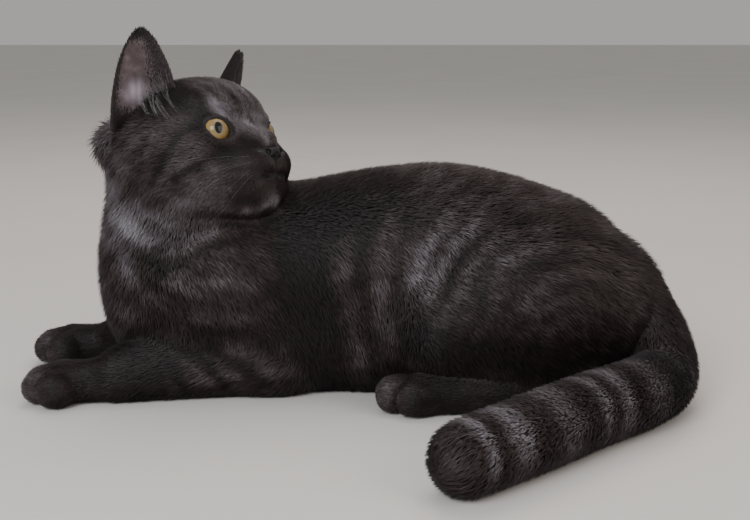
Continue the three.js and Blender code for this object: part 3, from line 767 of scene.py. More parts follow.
def ear_object(name, ear):
    points, sheet, root, top = ear_mesh(*ear)
    form = bmesh.new()
    corner = [form.verts.new(at) for at in (points + SHIFT) * MM]
    for ring in sheet:
        form.faces.new([corner[i] for i in ring])
    for ring in (root, top):
        form.faces.new([corner[i] for i in ring])
    bmesh.ops.recalc_face_normals(form, faces=form.faces)
    mesh = bpy.data.meshes.new(name)
    form.to_mesh(mesh)
    form.free()
    mesh.shade_smooth()
    return place_object(name, mesh)


def ear_place(p, side, base, tip, faces):
    """Share of the way up an ear, across it as a share of its half width, and in front of its
    middle sheet in millimetres."""
    axes, height = ear_axes(side, base, tip, faces)
    q = (p - base) @ axes.T
    rise = (q[:, 0] + EAR_ROOT_DEPTH) / (height + EAR_ROOT_DEPTH)
    half, cup, thick = ear_form(rise)
    share = q[:, 1] / np.maximum(half, 0.5)
    return rise, share, q[:, 2] + cup * (1 - np.clip(share, -1, 1) ** 2), thick


# ---- The skin ----------------------------------------------------------------
def refine(form, wanted):
    """Divides the faces whose middles are wanted into four."""
    middles = np.array([f.calc_center_median() for f in form.faces]) / MM - SHIFT
    chosen = wanted(middles)
    edges = {e for f, take in zip(form.faces, chosen) if take for e in f.edges}
    bmesh.ops.subdivide_edges(form, edges=list(edges), cuts=1, use_grid_fill=True)


def from_toes(p):
    tips = [leg[-1] for legs in (FORELEGS, HINDLEGS) for leg in legs.values()]
    return np.min([np.linalg.norm(p - tip, axis=1) for tip in tips], axis=0)


def from_muzzle(p):
    return np.linalg.norm(p - in_head(34, 0, -6), axis=1)


def draw_skin():
    """The skin without ears: drawn on a grid, made finer on head and paws, moved onto its surface."""
    low = np.floor((np.array(CAD_BOX[0]) / MM - SHIFT) - NET_MARGIN)
    high = np.ceil((np.array(CAD_BOX[1]) / MM - SHIFT) + NET_MARGIN)
    high[2] = HEAD_CENTRE[2] + CROWN_CLEAR
    points, faces = surface_net(skin_surface, low, high, NET_CELL)
    form = bmesh.new()
    form.from_mesh(as_mesh("skin_net", points, faces))
    refine(form, lambda p: (np.linalg.norm(p - HEAD_CENTRE, axis=1) < HEAD_ZONE) | (from_toes(p) < PAW_ZONE))
    refine(form, lambda p: from_muzzle(p) < FACE_ZONE)
    bmesh.ops.triangulate(form, faces=form.faces)
    mesh = bpy.data.meshes.new("skin")
    form.to_mesh(mesh)
    form.free()
    p = mesh_points(mesh)
    for _ in range(SETTLING_STEPS):
        d, way = slope(skin_surface, p)
        steep = np.maximum(dots(way, way), 0.25)
        p = p - way * np.clip(d / steep, -LONGEST_STEP, LONGEST_STEP)[:, None]
    mesh.vertices.foreach_set("co", ((p + SHIFT) * MM).astype(np.float32).ravel())
    mesh.shade_smooth()
    return place_object("skin", mesh)


def join_ears(skin):
    """One closed skin with the ears grown out of it."""
    for name, place in EARS.items():
        ear = ear_object("ear_blank_" + name, place)
        joint = skin.modifiers.new("join", "BOOLEAN")
        joint.operation, joint.solver, joint.object = "UNION", "MANIFOLD", ear
        skin.data = evaluated_mesh(skin)
        bpy.data.objects.remove(ear)
    skin.data.name = "skin"
    skin.data.shade_smooth()
    return skin


# ---- Markings, with painted light and shade ----------------------------------
# Strokes on the near flank, mirrored on the other: how much paler or darker, half width, points. Most are
# coat markings; two are painted light and shade, marked below.
FLANK_MARKS_AND_PAINTED_LIGHT = [
    (-0.28, 15, [(-32, 31, 120), (-29, 22, 92), (-26, 17, 56), (-20, 22, 14)]),
    (0.23, 7, [(-6, 24, 102), (-6, 18, 74), (0, 16, 46), (5, 15, 24)]),
    (-0.16, 3.5, [(16, 30, 118), (8, 21, 98), (7, 17, 70), (12, 14, 44)]),
    (0.23, 8, [(24, 26, 110), (18, 17, 86), (19, 14, 62), (24, 10, 44), (28, 8, 28)]),
    (-0.18, 3, [(40, 24, 118), (33, 19, 104), (29, 14, 84), (31, 10, 62)]),
    (0.18, 6, [(62, 22, 120), (50, 18, 106), (43, 13, 88), (39, 8, 68), (38, 6, 50)]),
    (-0.15, 2.2, [(72, 19, 118), (58, 14, 106), (48, 12, 90)]),
    (0.21, 5, [(78, 16, 113), (64, 12, 101), (54, 8, 84), (50, 5, 64)]),
    (-0.20, 3, [(86, 12, 113), (74, 8, 104), (64, 5, 90), (60, 2, 74)]),
    (0.16, 4, [(100, 10, 112), (86, 4, 106), (75, 0, 92), (70, -3, 76)]),
    (-0.16, 2.6, [(108, 9, 113), (94, 2, 104), (84, -3, 90), (79, -5, 74)]),
    (0.14, 5, [(124, 4, 106), (106, 1, 101), (93, -2, 90), (88, -5, 74)]),
    (-0.12, 3, [(132, 4, 100), (114, -2, 96), (101, -4, 86), (97, -7, 70)]),
    (0.10, 5, [(142, 4, 88), (124, -4, 86), (111, -6, 74)]),
    (-0.16, 14, [(60, -2, 46), (80, -8, 38), (110, -8, 34)]),
    (0.14, 7, [(-146, 36, 116), (-136, 29, 107), (-128, 27, 106)]),
    (0.22, 10, [(-150, 42, 112), (-128, 26, 118), (-104, 23, 126)]),
    # Painted shadow under the jaw, where the neck meets the head.
    (-0.36, 5, [(-76, 24, 118), (-68, 26, 117), (-60, 29, 116), (-53, 32, 117)]),
    (0.18, 7, [(-150, 35, 91), (-142, 28, 82), (-132, 23, 74)]),
    (0.07, 12, [(16, 20, 92), (18, 14, 64), (24, 6, 44)]),
    # Painted light: paler low on the belly, lifting the shade near the floor.
    (0.22, 16, [(-40, 24, 10), (-14, 20, 18), (6, 26, 12)]),
    (0.26, 4.5, [(-112, 17, 98), (-100, 17, 103), (-88, 19, 109)]),
    (-0.30, 3, [(-55, 30, 112), (-70, 24, 107), (-86, 18, 103), (-104, 17, 94), (-118, 19, 86)]),
    (-0.18, 3.5, [(-136, 28, 98), (-128, 22, 92), (-119, 18, 90)]),
    (-0.14, 3, [(-132, 22, 82), (-122, 18, 76), (-112, 16, 70)]),
    (0.20, 8, [(-112, 15, 80), (-94, 13, 78), (-78, 14, 82)]),
    (0.14, 6, [(-100, 14, 58), (-84, 13, 56), (-70, 14, 56)]),
    (-0.22, 2.8, [(-119, 18, 46), (-86, 14, 48), (-66, 14, 45), (-50, 15, 41)]),
    (-0.26, 3, [(-113, 16, 39), (-97, 14, 29), (-82, 17, 11)]),
    (-0.26, 3, [(-90, 14, 36), (-72, 14, 24), (-57, 17, 13)]),
    (-0.22, 3, [(-120, 14, 35), (-114, 14, 22), (-106, 16, 7)]),
    (0.16, 4.5, [(-106, 14, 30), (-99, 13, 21), (-92, 15, 12)]),
    (0.16, 4.5, [(-86, 14, 26), (-74, 15, 16)]),
    (0.14, 5, [(-76, 14, 36), (-62, 14, 29), (-50, 15, 22)]),
]
# The same on the face, in millimetres forward, to the side and up from the head's centre. Most are coat
# markings; two are painted shade, marked below.
FACE_MARKS_AND_PAINTED_SHADE = [
    (-0.38, 2.4, [(29, -33, 10), (22, -41, 9), (14, -48, -2), (8, -51, -13), (-2, -51, -25)]),
    (-0.42, 2.2, [(41, -29, -7), (33, -39, -12), (26, -43, -16), (16, -48, -22)]),
    (0.10, 5, [(34, -36, 0), (26, -43, -6)]),
    (0.16, 3, [(31, -24, 26), (34, -22, 21), (36, -21, 17)]),
    (-0.20, 3, [(18, -27, 34), (25, -29, 27), (28, -33, 18)]),
    (-0.38, 8, [(6, -33, 32), (18, -34, 25), (26, -34, 17)]),
    (-0.14, 6, [(-14, -39, 26), (-3, -41, 23)]),
    (-0.16, 8, [(-14, -26, 40), (-8, -30, 36), (0, -28, 38)]),
    (-0.16, 3, [(12, -12, 44), (28, -12, 34), (40, -9, 22)]),
    (0.22, 6, [(38, -23, -42), (43, -18, -44)]),
    (0.50, 4.2, [(46, -13, -44), (50, -9, -44), (54, -5, -41), (57, -1, -37)]),
    # Painted shadow under the jaw.
    (-0.30, 3.5, [(34, -25, -50), (40, -20, -51), (44, -15, -52), (50, -9, -52)]),
    (-0.30, 2.5, [(58, -5, -20), (56, -9, -22)]),
    # Painted shade in the slit behind the nostril.
    (-0.40, 2, [(57, -7, -7), (54, -11, -6.6), (51.5, -13.5, -6.2)]),
    (0.30, 6, [(8, -43, -42), (13, -42, -39), (18, -40, -37)]),
    (0.40, 3, [(55, -4, 1), (59, -5, -2), (60, -1, -1)]),
    (-0.12, 5, [(32, -30, -2), (40, -24, -5)]),
    (-0.12, 3, [(58, -6, -22), (49, -18, -28), (38, -28, -29)]),
    (0.20, 2.5, [(56, -11, -26), (52, -16, -29)]),
    (0.30, 6, [(44, -6, 11), (52, -3, 5)]),
    (0.16, 6, [(60, 0, -12), (60, -4, -16)]),
    (-0.24, 3.5, [(45, -15, 2), (50, -12, -4)]),
    (0.14, 2, [(53, -20, -15), (46, -27, -15), (38, -33, -17)]),
    (0.14, 2, [(52, -21, -21), (45, -28, -22)]),
    (0.12, 2, [(50, -22, -27), (43, -28, -29)]),
]
# Pale rings round the tail: the middle along its spine, half width, and how much paler.
TAIL_RINGS = [
    (290, 5, 0.42), (267, 9, 0.42), (230, 11, 0.30), (199, 6, 0.36), (178, 8, 0.34), (148, 10, 0.26),
    (112, 12, 0.16),
]
TAIL_DARK, TAIL_END = 0.18, 0.27  # how pale the tail is between its rings, and at its very tip


def stroke(p, marks):
    """The sum of the strokes at each point, with edges broken up by the coat."""
    total = np.zeros(len(p))
    for i, (amount, half, stations) in enumerate(marks):
        spine = smooth_curve(np.array(stations, float), 4)
        away = np.min([np.linalg.norm(p - at, axis=1) for at in spine], axis=0)
        total += amount * np.exp(-(away / (half * (1.15 + 0.3 * wander(p, 9, 40 + i)))) ** 2)
    return total


def ripples(phase):
    """1 on a stripe's dark line and 0 on the paler coat between two."""
    return 0.5 + 0.5 * np.cos(2 * math.pi * phase)


def body_tone(p, amount, drift):
    """The trunk, the neck and the haunches, without their strokes."""
    haunch = amount["hindleg_left"] + amount["hindleg_right"]
    arc = np.hypot(p[:, 0] - 140, p[:, 2] - 45) + 0.6 * drift
    pale = 0.27 + 0.10 * ramp(p[:, 2], 20, 60) * (1 - ramp(p[:, 2], 100, 140))
    pale -= 0.09 * ripples(arc / 13) * ramp(p[:, 0], -10, 60)
    pale += 0.07 * ramp(p[:, 2], 115, 140)
    # The haunch is darker overall; the second term is painted shade low on it, where the thigh folds onto
    # the foot.
    pale -= 0.09 * haunch + 0.12 * haunch * (1 - ramp(p[:, 2], 40, 80))
    pale += 0.17 * (1 - ramp(p[:, 0], -64, -42)) + 0.07 * wander(p, 10, 8) * (1 - ramp(p[:, 0], -60, 20))
    return pale + (0.06 * amount["neck"] + 0.13 * amount["neck"] * ramp(p[:, 2], 95, 125))


def tail_tone(p, drift):
    """The tail with its rings, which fade towards the floor."""
    past = np.maximum((p - TAIL.at[-1]) @ TAIL.way[-1], 0)  # beyond the spine's end, in the tip
    s = TAIL.between(TAIL.run, TAIL.place(p)) + past + 0.3 * drift
    more = sum(paler * np.exp(-(np.abs(s - at) / half) ** 3) for at, half, paler in TAIL_RINGS)
    rings = mix(TAIL_DARK, TAIL_DARK + more, 0.4 + 0.6 * ramp(p[:, 2], 6, 26))
    return mix(rings, TAIL_END, ramp(past, 3, 9))


def head_tone(p):
    """The head: a striped crown over a plainer cheek, with the strokes of the face."""
    q = head_place(p)
    stripes = ripples((q[:, 1] + 1.5 * wander(p, 14, 4)) / 9.5) * ramp(q[:, 2], 18, 30)
    crown = 0.45 + 0.07 * ramp(q[:, 0], 20, 40) - 0.12 * stripes
    crown -= 0.26 * ramp(-q[:, 0], -22, 16)
    cheek = 0.31 + 0.08 * wander(p, 11, 5) - 0.13 * ramp(q[:, 0], 34, 48)
    return mix(cheek, crown, ramp(q[:, 2], 6, 20)) + stroke(on_side(q, -1), FACE_MARKS_AND_PAINTED_SHADE)


def markings(p, share):
    """How pale the coat is at each point, from 0 in the darkest stripes to 1; besides the markings it holds
    painted shade under the jaw, in the nostril slits, low on the haunches and between the toes, and painted
    light low on the belly.
    """
    amount = dict(zip(NAMES, share))
    drift = 5.0 * wander(p, 45, 1) + 2.0 * wander(p, 16, 2)
    midline = MIDLINE_Y + MIDLINE_LEAN * p[:, 0]
    folded = p * [1, 0, 1] + np.outer(midline - np.abs(p[:, 1] - midline), [0, 1, 0])
    strokes = stroke(folded, FLANK_MARKS_AND_PAINTED_LIGHT)
    pale = body_tone(p, amount, drift) + strokes * (1 - amount["head"]) * (1 - amount["tail"])
    pale = mix(pale, tail_tone(p, drift), amount["tail"])
    plain = 0.25 + 0.17 * ramp(p[:, 0], -145, -105) + 0.06 * ramp(p[:, 2], 40, 80)
    pale = mix(pale, plain + strokes, amount["foreleg_left"] + amount["foreleg_right"])
    pale -= 0.25 * (1 - ramp(p[:, 0] + drift, 12, 56))  # darker from the flank forwards
    paws = sum(amount[name] for name in NAMES if "paw" in name)
    toes = np.max([shape.fronts(p) for shape in PAWS], axis=0)
    pale = mix(pale, 0.11 + 0.27 * toes + 0.04 * wander(p, 5, 3), paws)
    # Painted shade in the clefts between the toes.
    pale -= 0.12 * np.max([shape.clefts(p) for shape in PAWS], axis=0)
    pale = mix(pale, head_tone(p), amount["head"])
    return np.clip(pale + 0.05 * wander(p, 6, 6) + 0.05 * wander(p, 18, 7), 0.02, 1)


# ---- The lie of the coat -----------------------------------------------------
def coat_flow(p, share, normal):
    """Which way the hairs point at each place."""
    upright = 1 - np.abs(normal[:, 2:3])
    down = np.array([[0, 0, -1.0]])
    total = np.zeros((len(p), 3))
    for name, weight in zip(NAMES, share):
        kind, _, side = name.partition("_")
        if kind == "trunk":
            low_flank = 1.5 + 0.9 * ramp(-p[:, 2:3], -80, -40)
            way = BARREL.flow(p) + down * low_flank * upright
        elif kind == "neck":
            way = -NECK.flow(p) + np.array([[0.15, 0, 0]])
        elif kind == "head":
            way = unit(p - in_head(62, 0, -3)) + down * 0.15
            for hand in (-1, 1):
                e = eye_place(head_place(p), hand)
                close = np.exp(-(np.maximum(opening(e), 0) / 4) ** 2) * (e[:, 0] > 0)
                eye = in_head(*(np.array(EYE_AT) * [1, hand, 1]))
                way = way + 2.5 * close[:, None] * unit(p - eye)
        elif kind == "foreleg":
            shoulder, elbow, wrist, _ = FORELEGS[side]
            along = ramp(p[:, 2], 30, 52)[:, None]
            way = mix(unit(wrist - elbow) + down * 0.2, unit(elbow - shoulder), along)
        elif kind == "hindleg":
            way = np.array([[0.85, 0, 0]]) + down * 0.75 * upright
        elif kind == "forepaw":
            way = unit(FORELEGS[side][3] - FORELEGS[side][2]) + down * 0.2
        elif kind == "hindpaw":
            way = np.array([[-1, -0.1, -0.15]])
        else:
            way = TAIL.flow(p)
        total += weight[:, None] * way
    swirl = np.column_stack([wander(p, 26, seed) for seed in (21, 22, 23)])
    total = unit(total) + 0.16 * swirl
    return unit(total - normal * dots(total, normal)[:, None])


# ---- Tufts -------------------------------------------------------------------
# A tuft is a closed spindle with five corners and six faces: a root under the skin, three
# corners round its thickest place, and a tip.
TUFT_FACES = np.array([[0, 2, 1], [0, 3, 2], [0, 1, 3], [4, 1, 2], [4, 2, 3], [4, 3, 1]])
TUFT_CORNERS = 5
TUFT_MAP = np.array([[-1, 0], [0, -1], [0.2, 0], [0, 1], [1, 0.1]]) * 0.0015  # its patch of the map
LOCK_SIZE, LOCK_PULL = 9, 0.18  # tufts in a lock, and how far their tips are drawn together
LIE_SPREAD = 0.13  # how far a hair turns off the lie of the coat
SOLE = 2.5  # nothing grows on the underside this near the floor
STRAY = (-1.4, 1.0)  # where tips end, from inside to outside the coat's surface
TIP_SHIFT = (-3.5, 3.0)  # how far a tip may be moved to end there
LOWEST, LOWEST_SPREAD = 0.15, 0.25  # the lowest corners, above the floor


def scatter(points, triangles, wanted):
    """Random places on a mesh: the triangle of each and its three corner weights."""
    a, b, c = (points[triangles[:, k]] for k in range(3))
    area = np.linalg.norm(np.cross(b - a, c - a), axis=1) / 2
    count = np.floor(area * wanted + RANDOM.random(len(area))).astype(int)
    chosen = np.repeat(np.arange(len(area)), count)
    u, v = RANDOM.random((2, len(chosen)))
    over = u + v > 1
    u[over], v[over] = 1 - u[over], 1 - v[over]
    return chosen, np.column_stack([1 - u - v, u, v])


def locks(root, tip, middle, size, pull):
    """Draws the tips of neighbouring tufts together into soft locks about `size` tufts each."""
    seeds = RANDOM.choice(len(root), max(1, len(root) // size), replace=False)
    tree = kdtree.KDTree(len(seeds))
    for i, at in enumerate(root[seeds]):
        tree.insert(at, i)
    tree.balance()
    nearest = np.array([tree.find(at)[1] for at in root])
    lead = tip[seeds][nearest] - root[seeds][nearest] + mix(root, root[seeds][nearest], 0.75)
    weight = pull * RANDOM.uniform(0.4, 1.0, len(root))[:, None]
    return mix(tip, lead, weight), mix(middle, lead * 0.5 + root * 0.5, weight * 0.35)


def spindles(root, middle, tip, width, normal):
    """Corners of the tufts, with the way each one faces, in five rows to a tuft."""
    along = unit(tip - root)
    side = unit(np.cross(along, normal))
    out = np.cross(side, along)
    half = (width / 2)[:, None]
    corners = np.stack([
        root - normal * 0.5,
        middle - side * half - out * half * 0.3,
        middle + out * half * 0.7,
        middle + side * half - out * half * 0.3,
        tip,
    ], 1)
    facing = np.stack([
        normal,
        unit(normal - side * 0.7),
        unit(normal + out * 0.3),
        unit(normal + side * 0.7),
        unit(normal + along * 0.35),
    ], 1)
    return corners.reshape(-1, 3), facing.reshape(-1, 3)


def piece_of(part, p):
    """The coat piece that each tuft belongs to, by the part it grows on and its side."""
    off_midline = MIDLINE_Y + MIDLINE_LEAN * p[:, 0] - p[:, 1]
    sideways = np.where(part == "head", -head_place(p)[:, 1], off_midline)
    side = np.where(sideways > 0, "near", "far")
    names = np.array([str(name).split("_")[0] for name in part])
    legs = np.char.add(np.char.replace(names, "paw", "leg"), "_")
    sided = np.char.add(np.char.add(names, "_"), side)
    out = np.where(np.isin(names, ["trunk", "head", "ear"]), sided, names)
    limb = np.isin(names, ["foreleg", "forepaw", "hindleg", "hindpaw"])
    hand = np.array([str(name).split("_")[-1] for name in part])
    return np.where(limb, np.char.add(legs, hand), out)


def unwrap(part, p):
    """Where each root lies on its part, opened out flat: round it and along it, from 0 to 1."""
    round_it, along = np.zeros(len(p)), np.zeros(len(p))
    spines = {"trunk": BARREL, "neck": NECK, "tail": TAIL}
    for name in np.unique(part):
        mine = part == name
        here = p[mine]
        if name in spines:
            q, place = spines[name].local(here)
            run = spines[name].run
            along[mine] = (spines[name].between(run, place) + q[:, 2]) / run[-1] * 0.8 + 0.1
            round_it[mine] = np.arctan2(q[:, 1], q[:, 0]) / (2 * math.pi) + 0.5
            continue
        if name == "head":
            q = head_place(here)[:, [1, 2, 0]]
        elif name.startswith("ear"):
            rise, share, front, _ = ear_place(here, *EARS[name.split("_")[1]])
            q = np.column_stack([share, np.where(front > 0, 1 - np.abs(share), np.abs(share) - 1), rise])
        else:
            q = (here - here.mean(0))[:, [1, 2, 0]]
        low, high = q[:, 2].min(), q[:, 2].max()
        along[mine] = (q[:, 2] - low) / (high - low)
        round_it[mine] = np.arctan2(q[:, 1], q[:, 0]) / (2 * math.pi) + 0.5
    return round_it, np.clip(along, 0, 1)


def coat_piece(name, corners, facing, pale, part, root, finish):
    """One piece of the coat as a mesh, with its markings and painted light and shade, and its map for
    baking.
    """
    count = len(root)
    faces = (TUFT_FACES[None] + TUFT_CORNERS * np.arange(count)[:, None, None]).reshape(-1, 3)
    mesh = as_mesh("coat_" + name, corners, faces)
    paint(mesh, "pale", np.repeat(pale, TUFT_CORNERS))
    paint(mesh, "strand", np.tile([0, 0.45, 0.5, 0.45, 1], count))
    paint(mesh, "chance", np.repeat(RANDOM.random(count), TUFT_CORNERS))
    paint(mesh, "custom_normal", facing)
    round_it, along = unwrap(part, root)
    strips = np.unique(part, return_inverse=True)[1]
    u = (strips + 0.03 + 0.94 * round_it) / (strips.max() + 1)
    middle = np.column_stack([np.clip(u, 0.003, 0.997), 0.01 + 0.98 * along])
    spots = (middle[:, None] + TUFT_MAP[None]).reshape(-1, 2)
    layer = mesh.uv_layers.new(name="OFBake")
    layer.data.foreach_set("uv", spots[faces.ravel()].astype(np.float32).ravel())
    mesh.materials.append(finish)
    piece = place_object("coat_" + name, mesh)
    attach(piece, "root")
    return piece


# ---- Materials ---------------------------------------------------------------
def linear(code):
    """A colour written as an sRGB hex value, turned to linear light."""
    parts = [int(code[i:i + 2], 16) / 255 for i in (1, 3, 5)]
    return [c / 12.92 if c <= 0.04045 else ((c + 0.055) / 1.055) ** 2.4 for c in parts] + [1.0]


def add(tree, kind, inputs=None, **settings):
    """A node with its settings; an input is given a value or the socket that feeds it."""
    node = tree.nodes.new(kind)
    for key, value in settings.items():
        setattr(node, key, value)
    for key, value in (inputs or {}).items():
        if isinstance(value, bpy.types.NodeSocket):
            tree.links.new(value, node.inputs[key])
        else:
            node.inputs[key].default_value = value
    return node


def new_material(name):
    material = bpy.data.materials.new(name)
    material.use_nodes = True
    material.node_tree.nodes.clear()
    return material, material.node_tree


def finish_with(tree, surface):
    add(tree, "ShaderNodeOutputMaterial", {"Surface": surface.outputs[0]})


def set_stops(node, stops):
    ramp_stops = node.color_ramp.elements
    while len(ramp_stops) < len(stops):
        ramp_stops.new(0.5)
    for stop, (at, code) in zip(ramp_stops, stops):
        stop.position = at
        stop.color = linear(code)


# From the black of the stripes, which is a little brown, to the silver of the throat.
COAT_COLOURS = [
    (0.0, "#0a0706"), (0.2, "#1c1413"), (0.42, "#382f2f"), (0.65, "#5f5a5d"), (1.0, "#9a989e"),
]


def coat_colour(tree, value):
    """The coat's colour at a paleness from 0 to 1; skin and tufts share it."""
    colours = add(tree, "ShaderNodeValToRGB", {0: value})
    set_stops(colours, COAT_COLOURS)
    return colours.outputs["Color"]


def hair_material():
    """Short dense cat hair: each tuft a little paler or darker, with a faint silky sheen."""
    material, tree = new_material("short_dense_cat_hair")
    pale = add(tree, "ShaderNodeAttribute", attribute_name="pale").outputs["Fac"]
    chance = add(tree, "ShaderNodeAttribute", attribute_name="chance").outputs["Fac"]
    strand = add(tree, "ShaderNodeAttribute", attribute_name="strand").outputs["Fac"]
    varied = add(tree, "ShaderNodeMath", {0: chance, 1: 0.24, 2: -0.12}, operation="MULTIPLY_ADD")
    tipped = add(tree, "ShaderNodeMath", {
        0: strand, 1: 0.12, 2: varied.outputs[0],
    }, operation="MULTIPLY_ADD")
    value = add(tree, "ShaderNodeMath", {0: pale, 1: tipped.outputs[0]}, operation="ADD", use_clamp=True)
    surface = add(tree, "ShaderNodeBsdfPrincipled", {
        "Base Color": coat_colour(tree, value.outputs[0]), "Roughness": 0.5, "Specular IOR Level": 0.22,
        "Sheen Weight": 0.04, "Sheen Roughness": 0.45, "Sheen Tint": linear("#c9cdd8"),
    })
    finish_with(tree, surface)
    return material


def skin_material():
    """Skin with its downy undercoat, bare and mauve inside the ears, black round the eyes."""
    material, tree = new_material("downy_skin")
    where = add(tree, "ShaderNodeTexCoord").outputs["Object"]
    pale = add(tree, "ShaderNodeAttribute", attribute_name="pale").outputs["Fac"]
    bare = add(tree, "ShaderNodeAttribute", attribute_name="bare").outputs["Fac"]
    rim = add(tree, "ShaderNodeAttribute", attribute_name="rim").outputs["Fac"]
    # Down in wisps of about 1 mm: its single hairs are too fine to show, so it is drawn coarser.
    down = add(tree, "ShaderNodeTexNoise", {
        "Vector": where, "Scale": 900.0, "Detail": 4.0, "Roughness": 0.6,
    })
    speckle = add(tree, "ShaderNodeMath", {
        0: down.outputs["Fac"], 1: 0.3, 2: -0.2,
    }, operation="MULTIPLY_ADD")
    value = add(tree, "ShaderNodeMath", {0: pale, 1: speckle.outputs[0]}, operation="ADD", use_clamp=True)
    blotches = add(tree, "ShaderNodeTexNoise", {"Vector": where, "Scale": 110.0, "Detail": 5.0})
    mauve = add(tree, "ShaderNodeValToRGB", {0: blotches.outputs["Fac"]})
    set_stops(mauve, [(0.3, "#2b2121"), (0.55, "#443737"), (0.75, "#5e5257")])
    thin = add(tree, "ShaderNodeMix", {
        0: pale, 6: mauve.outputs["Color"], 7: linear("#a39aa4"),
    }, data_type="RGBA")
    dressed = add(tree, "ShaderNodeMix", {
        0: bare, 6: coat_colour(tree, value.outputs[0]), 7: thin.outputs[2],
    }, data_type="RGBA")
    rimmed = add(tree, "ShaderNodeMix", {
        0: rim, 6: dressed.outputs[2], 7: linear("#120d0c"),
    }, data_type="RGBA")
    bump = add(tree, "ShaderNodeBump", {"Height": down.outputs["Fac"], "Strength": 0.5, "Distance": 0.0006})
    surface = add(tree, "ShaderNodeBsdfPrincipled", {
        "Base Color": rimmed.outputs[2], "Normal": bump.outputs[0], "Roughness": 0.6,
        "Specular IOR Level": 0.3, "Sheen Weight": 0.1,
    })
    finish_with(tree, surface)
    return material


def nose_material():
    """Nose leather: fine pebbled black skin, slightly moist."""
    material, tree = new_material("moist_nose_leather")
    where = add(tree, "ShaderNodeTexCoord").outputs["Object"]
    # Pebbles of about 0.7 mm, a little coarser than real ones, which would be too fine to show.
    pebbles = add(tree, "ShaderNodeTexVoronoi", {"Vector": where, "Scale": 1400.0})
    tone = add(tree, "ShaderNodeValToRGB", {0: pebbles.outputs["Distance"]})
    set_stops(tone, [(0.0, "#1c1718"), (0.7, "#0b0909")])
    bump = add(tree, "ShaderNodeBump", {
        "Height": pebbles.outputs["Distance"], "Strength": 0.45, "Distance": 0.0004,
    }, invert=True)
    surface = add(tree, "ShaderNodeBsdfPrincipled", {
        "Base Color": tone.outputs["Color"], "Normal": bump.outputs[0], "Roughness": 0.55,
        "Specular IOR Level": 0.3, "Coat Weight": 0.08, "Coat Roughness": 0.3,
    })
    finish_with(tree, surface)
    return material


def eye_material():
    """A wet cornea over an amber iris with fine radial fibres and an upright oval pupil."""
    material, tree = new_material("wet_amber_eye")
    where = add(tree, "ShaderNodeAttribute", attribute_name="gaze").outputs["Vector"]
    spot = add(tree, "ShaderNodeSeparateXYZ", {0: where})
    flat = add(tree, "ShaderNodeCombineXYZ", {0: spot.outputs[0], 1: spot.outputs[1]})
    centre = add(tree, "ShaderNodeVectorMath", {0: flat.outputs[0]}, operation="LENGTH").outputs["Value"]
    angle = add(tree, "ShaderNodeMath", {0: spot.outputs[1], 1: spot.outputs[0]}, operation="ARCTAN2")
    spoke = add(tree, "ShaderNodeCombineXYZ", {0: angle.outputs[0], 1: centre})
    stretch = add(tree, "ShaderNodeMapping", {"Vector": spoke.outputs[0], "Scale": (9.0, 0.35, 1.0)})
    fibres = add(tree, "ShaderNodeTexNoise", {"Vector": stretch.outputs[0], "Scale": 1.0, "Detail": 4.0})
    reach = add(tree, "ShaderNodeMath", {
        0: fibres.outputs["Fac"], 1: 1.6, 2: centre,
    }, operation="MULTIPLY_ADD")
    share = add(tree, "ShaderNodeMath", {0: reach.outputs[0], 1: 10.0}, operation="DIVIDE")
    iris = add(tree, "ShaderNodeValToRGB", {0: share.outputs[0]})
    set_stops(iris, [
        (0.3, "#66644a"), (0.5, "#80704e"), (0.72, "#8a6f40"), (0.86, "#644a2a"), (0.98, "#1c130c"),
    ])
    narrow = add(tree, "ShaderNodeMapping", {
        "Vector": flat.outputs[0], "Scale": (1 / PUPIL_WIDE, 1 / PUPIL_HIGH, 1.0),
    })
    oval = add(tree, "ShaderNodeVectorMath", {0: narrow.outputs[0]}, operation="LENGTH")
    edge = add(tree, "ShaderNodeMapRange", {
        "Value": oval.outputs["Value"], "From Min": 0.94, "From Max": 1.04,
    })
    colour = add(tree, "ShaderNodeMix", {
        0: edge.outputs[0], 6: linear("#0a0b0e"), 7: iris.outputs["Color"],
    }, data_type="RGBA")
    surface = add(tree, "ShaderNodeBsdfPrincipled", {
        "Base Color": colour.outputs[2], "Roughness": 0.6, "Specular IOR Level": 0.1, "Coat Weight": 1.0,
        "Coat Roughness": 0.03, "Coat IOR": 1.38,
    })
    finish_with(tree, surface)
    return material


def mottled_material(name, grain, stops, finish):
    """A plain finish whose tone wanders a little between the stops."""
    material, tree = new_material(name)
    where = add(tree, "ShaderNodeTexCoord").outputs["Object"]
    noise = add(tree, "ShaderNodeTexNoise", {"Vector": where, **grain})
    tone = add(tree, "ShaderNodeValToRGB", {0: noise.outputs["Fac"]})
    set_stops(tone, stops)
    finish_with(tree, add(tree, "ShaderNodeBsdfPrincipled", {"Base Color": tone.outputs["Color"], **finish}))
    return material


def whisker_material():
    """Whiskers: stiff, smooth, slightly see-through white hair."""
    stops = [(0.3, "#625f60"), (0.7, "#918e8f")]
    return mottled_material("whisker_hair", {"Scale": 300.0}, stops, {
        "Roughness": 0.35, "Specular IOR Level": 0.5,
    })


def floor_material():
    """A matt off-white studio floor."""
    stops = [(0.3, "#cfccc8"), (0.7, "#d4d1cd")]
    return mottled_material("matt_studio_floor", {"Scale": 3.0, "Detail": 3.0}, stops, {"Roughness": 0.7})


# ---- Eyes and nose -----------------------------------------------------------
EYE_ROWS, EYE_COLUMNS = 40, 48


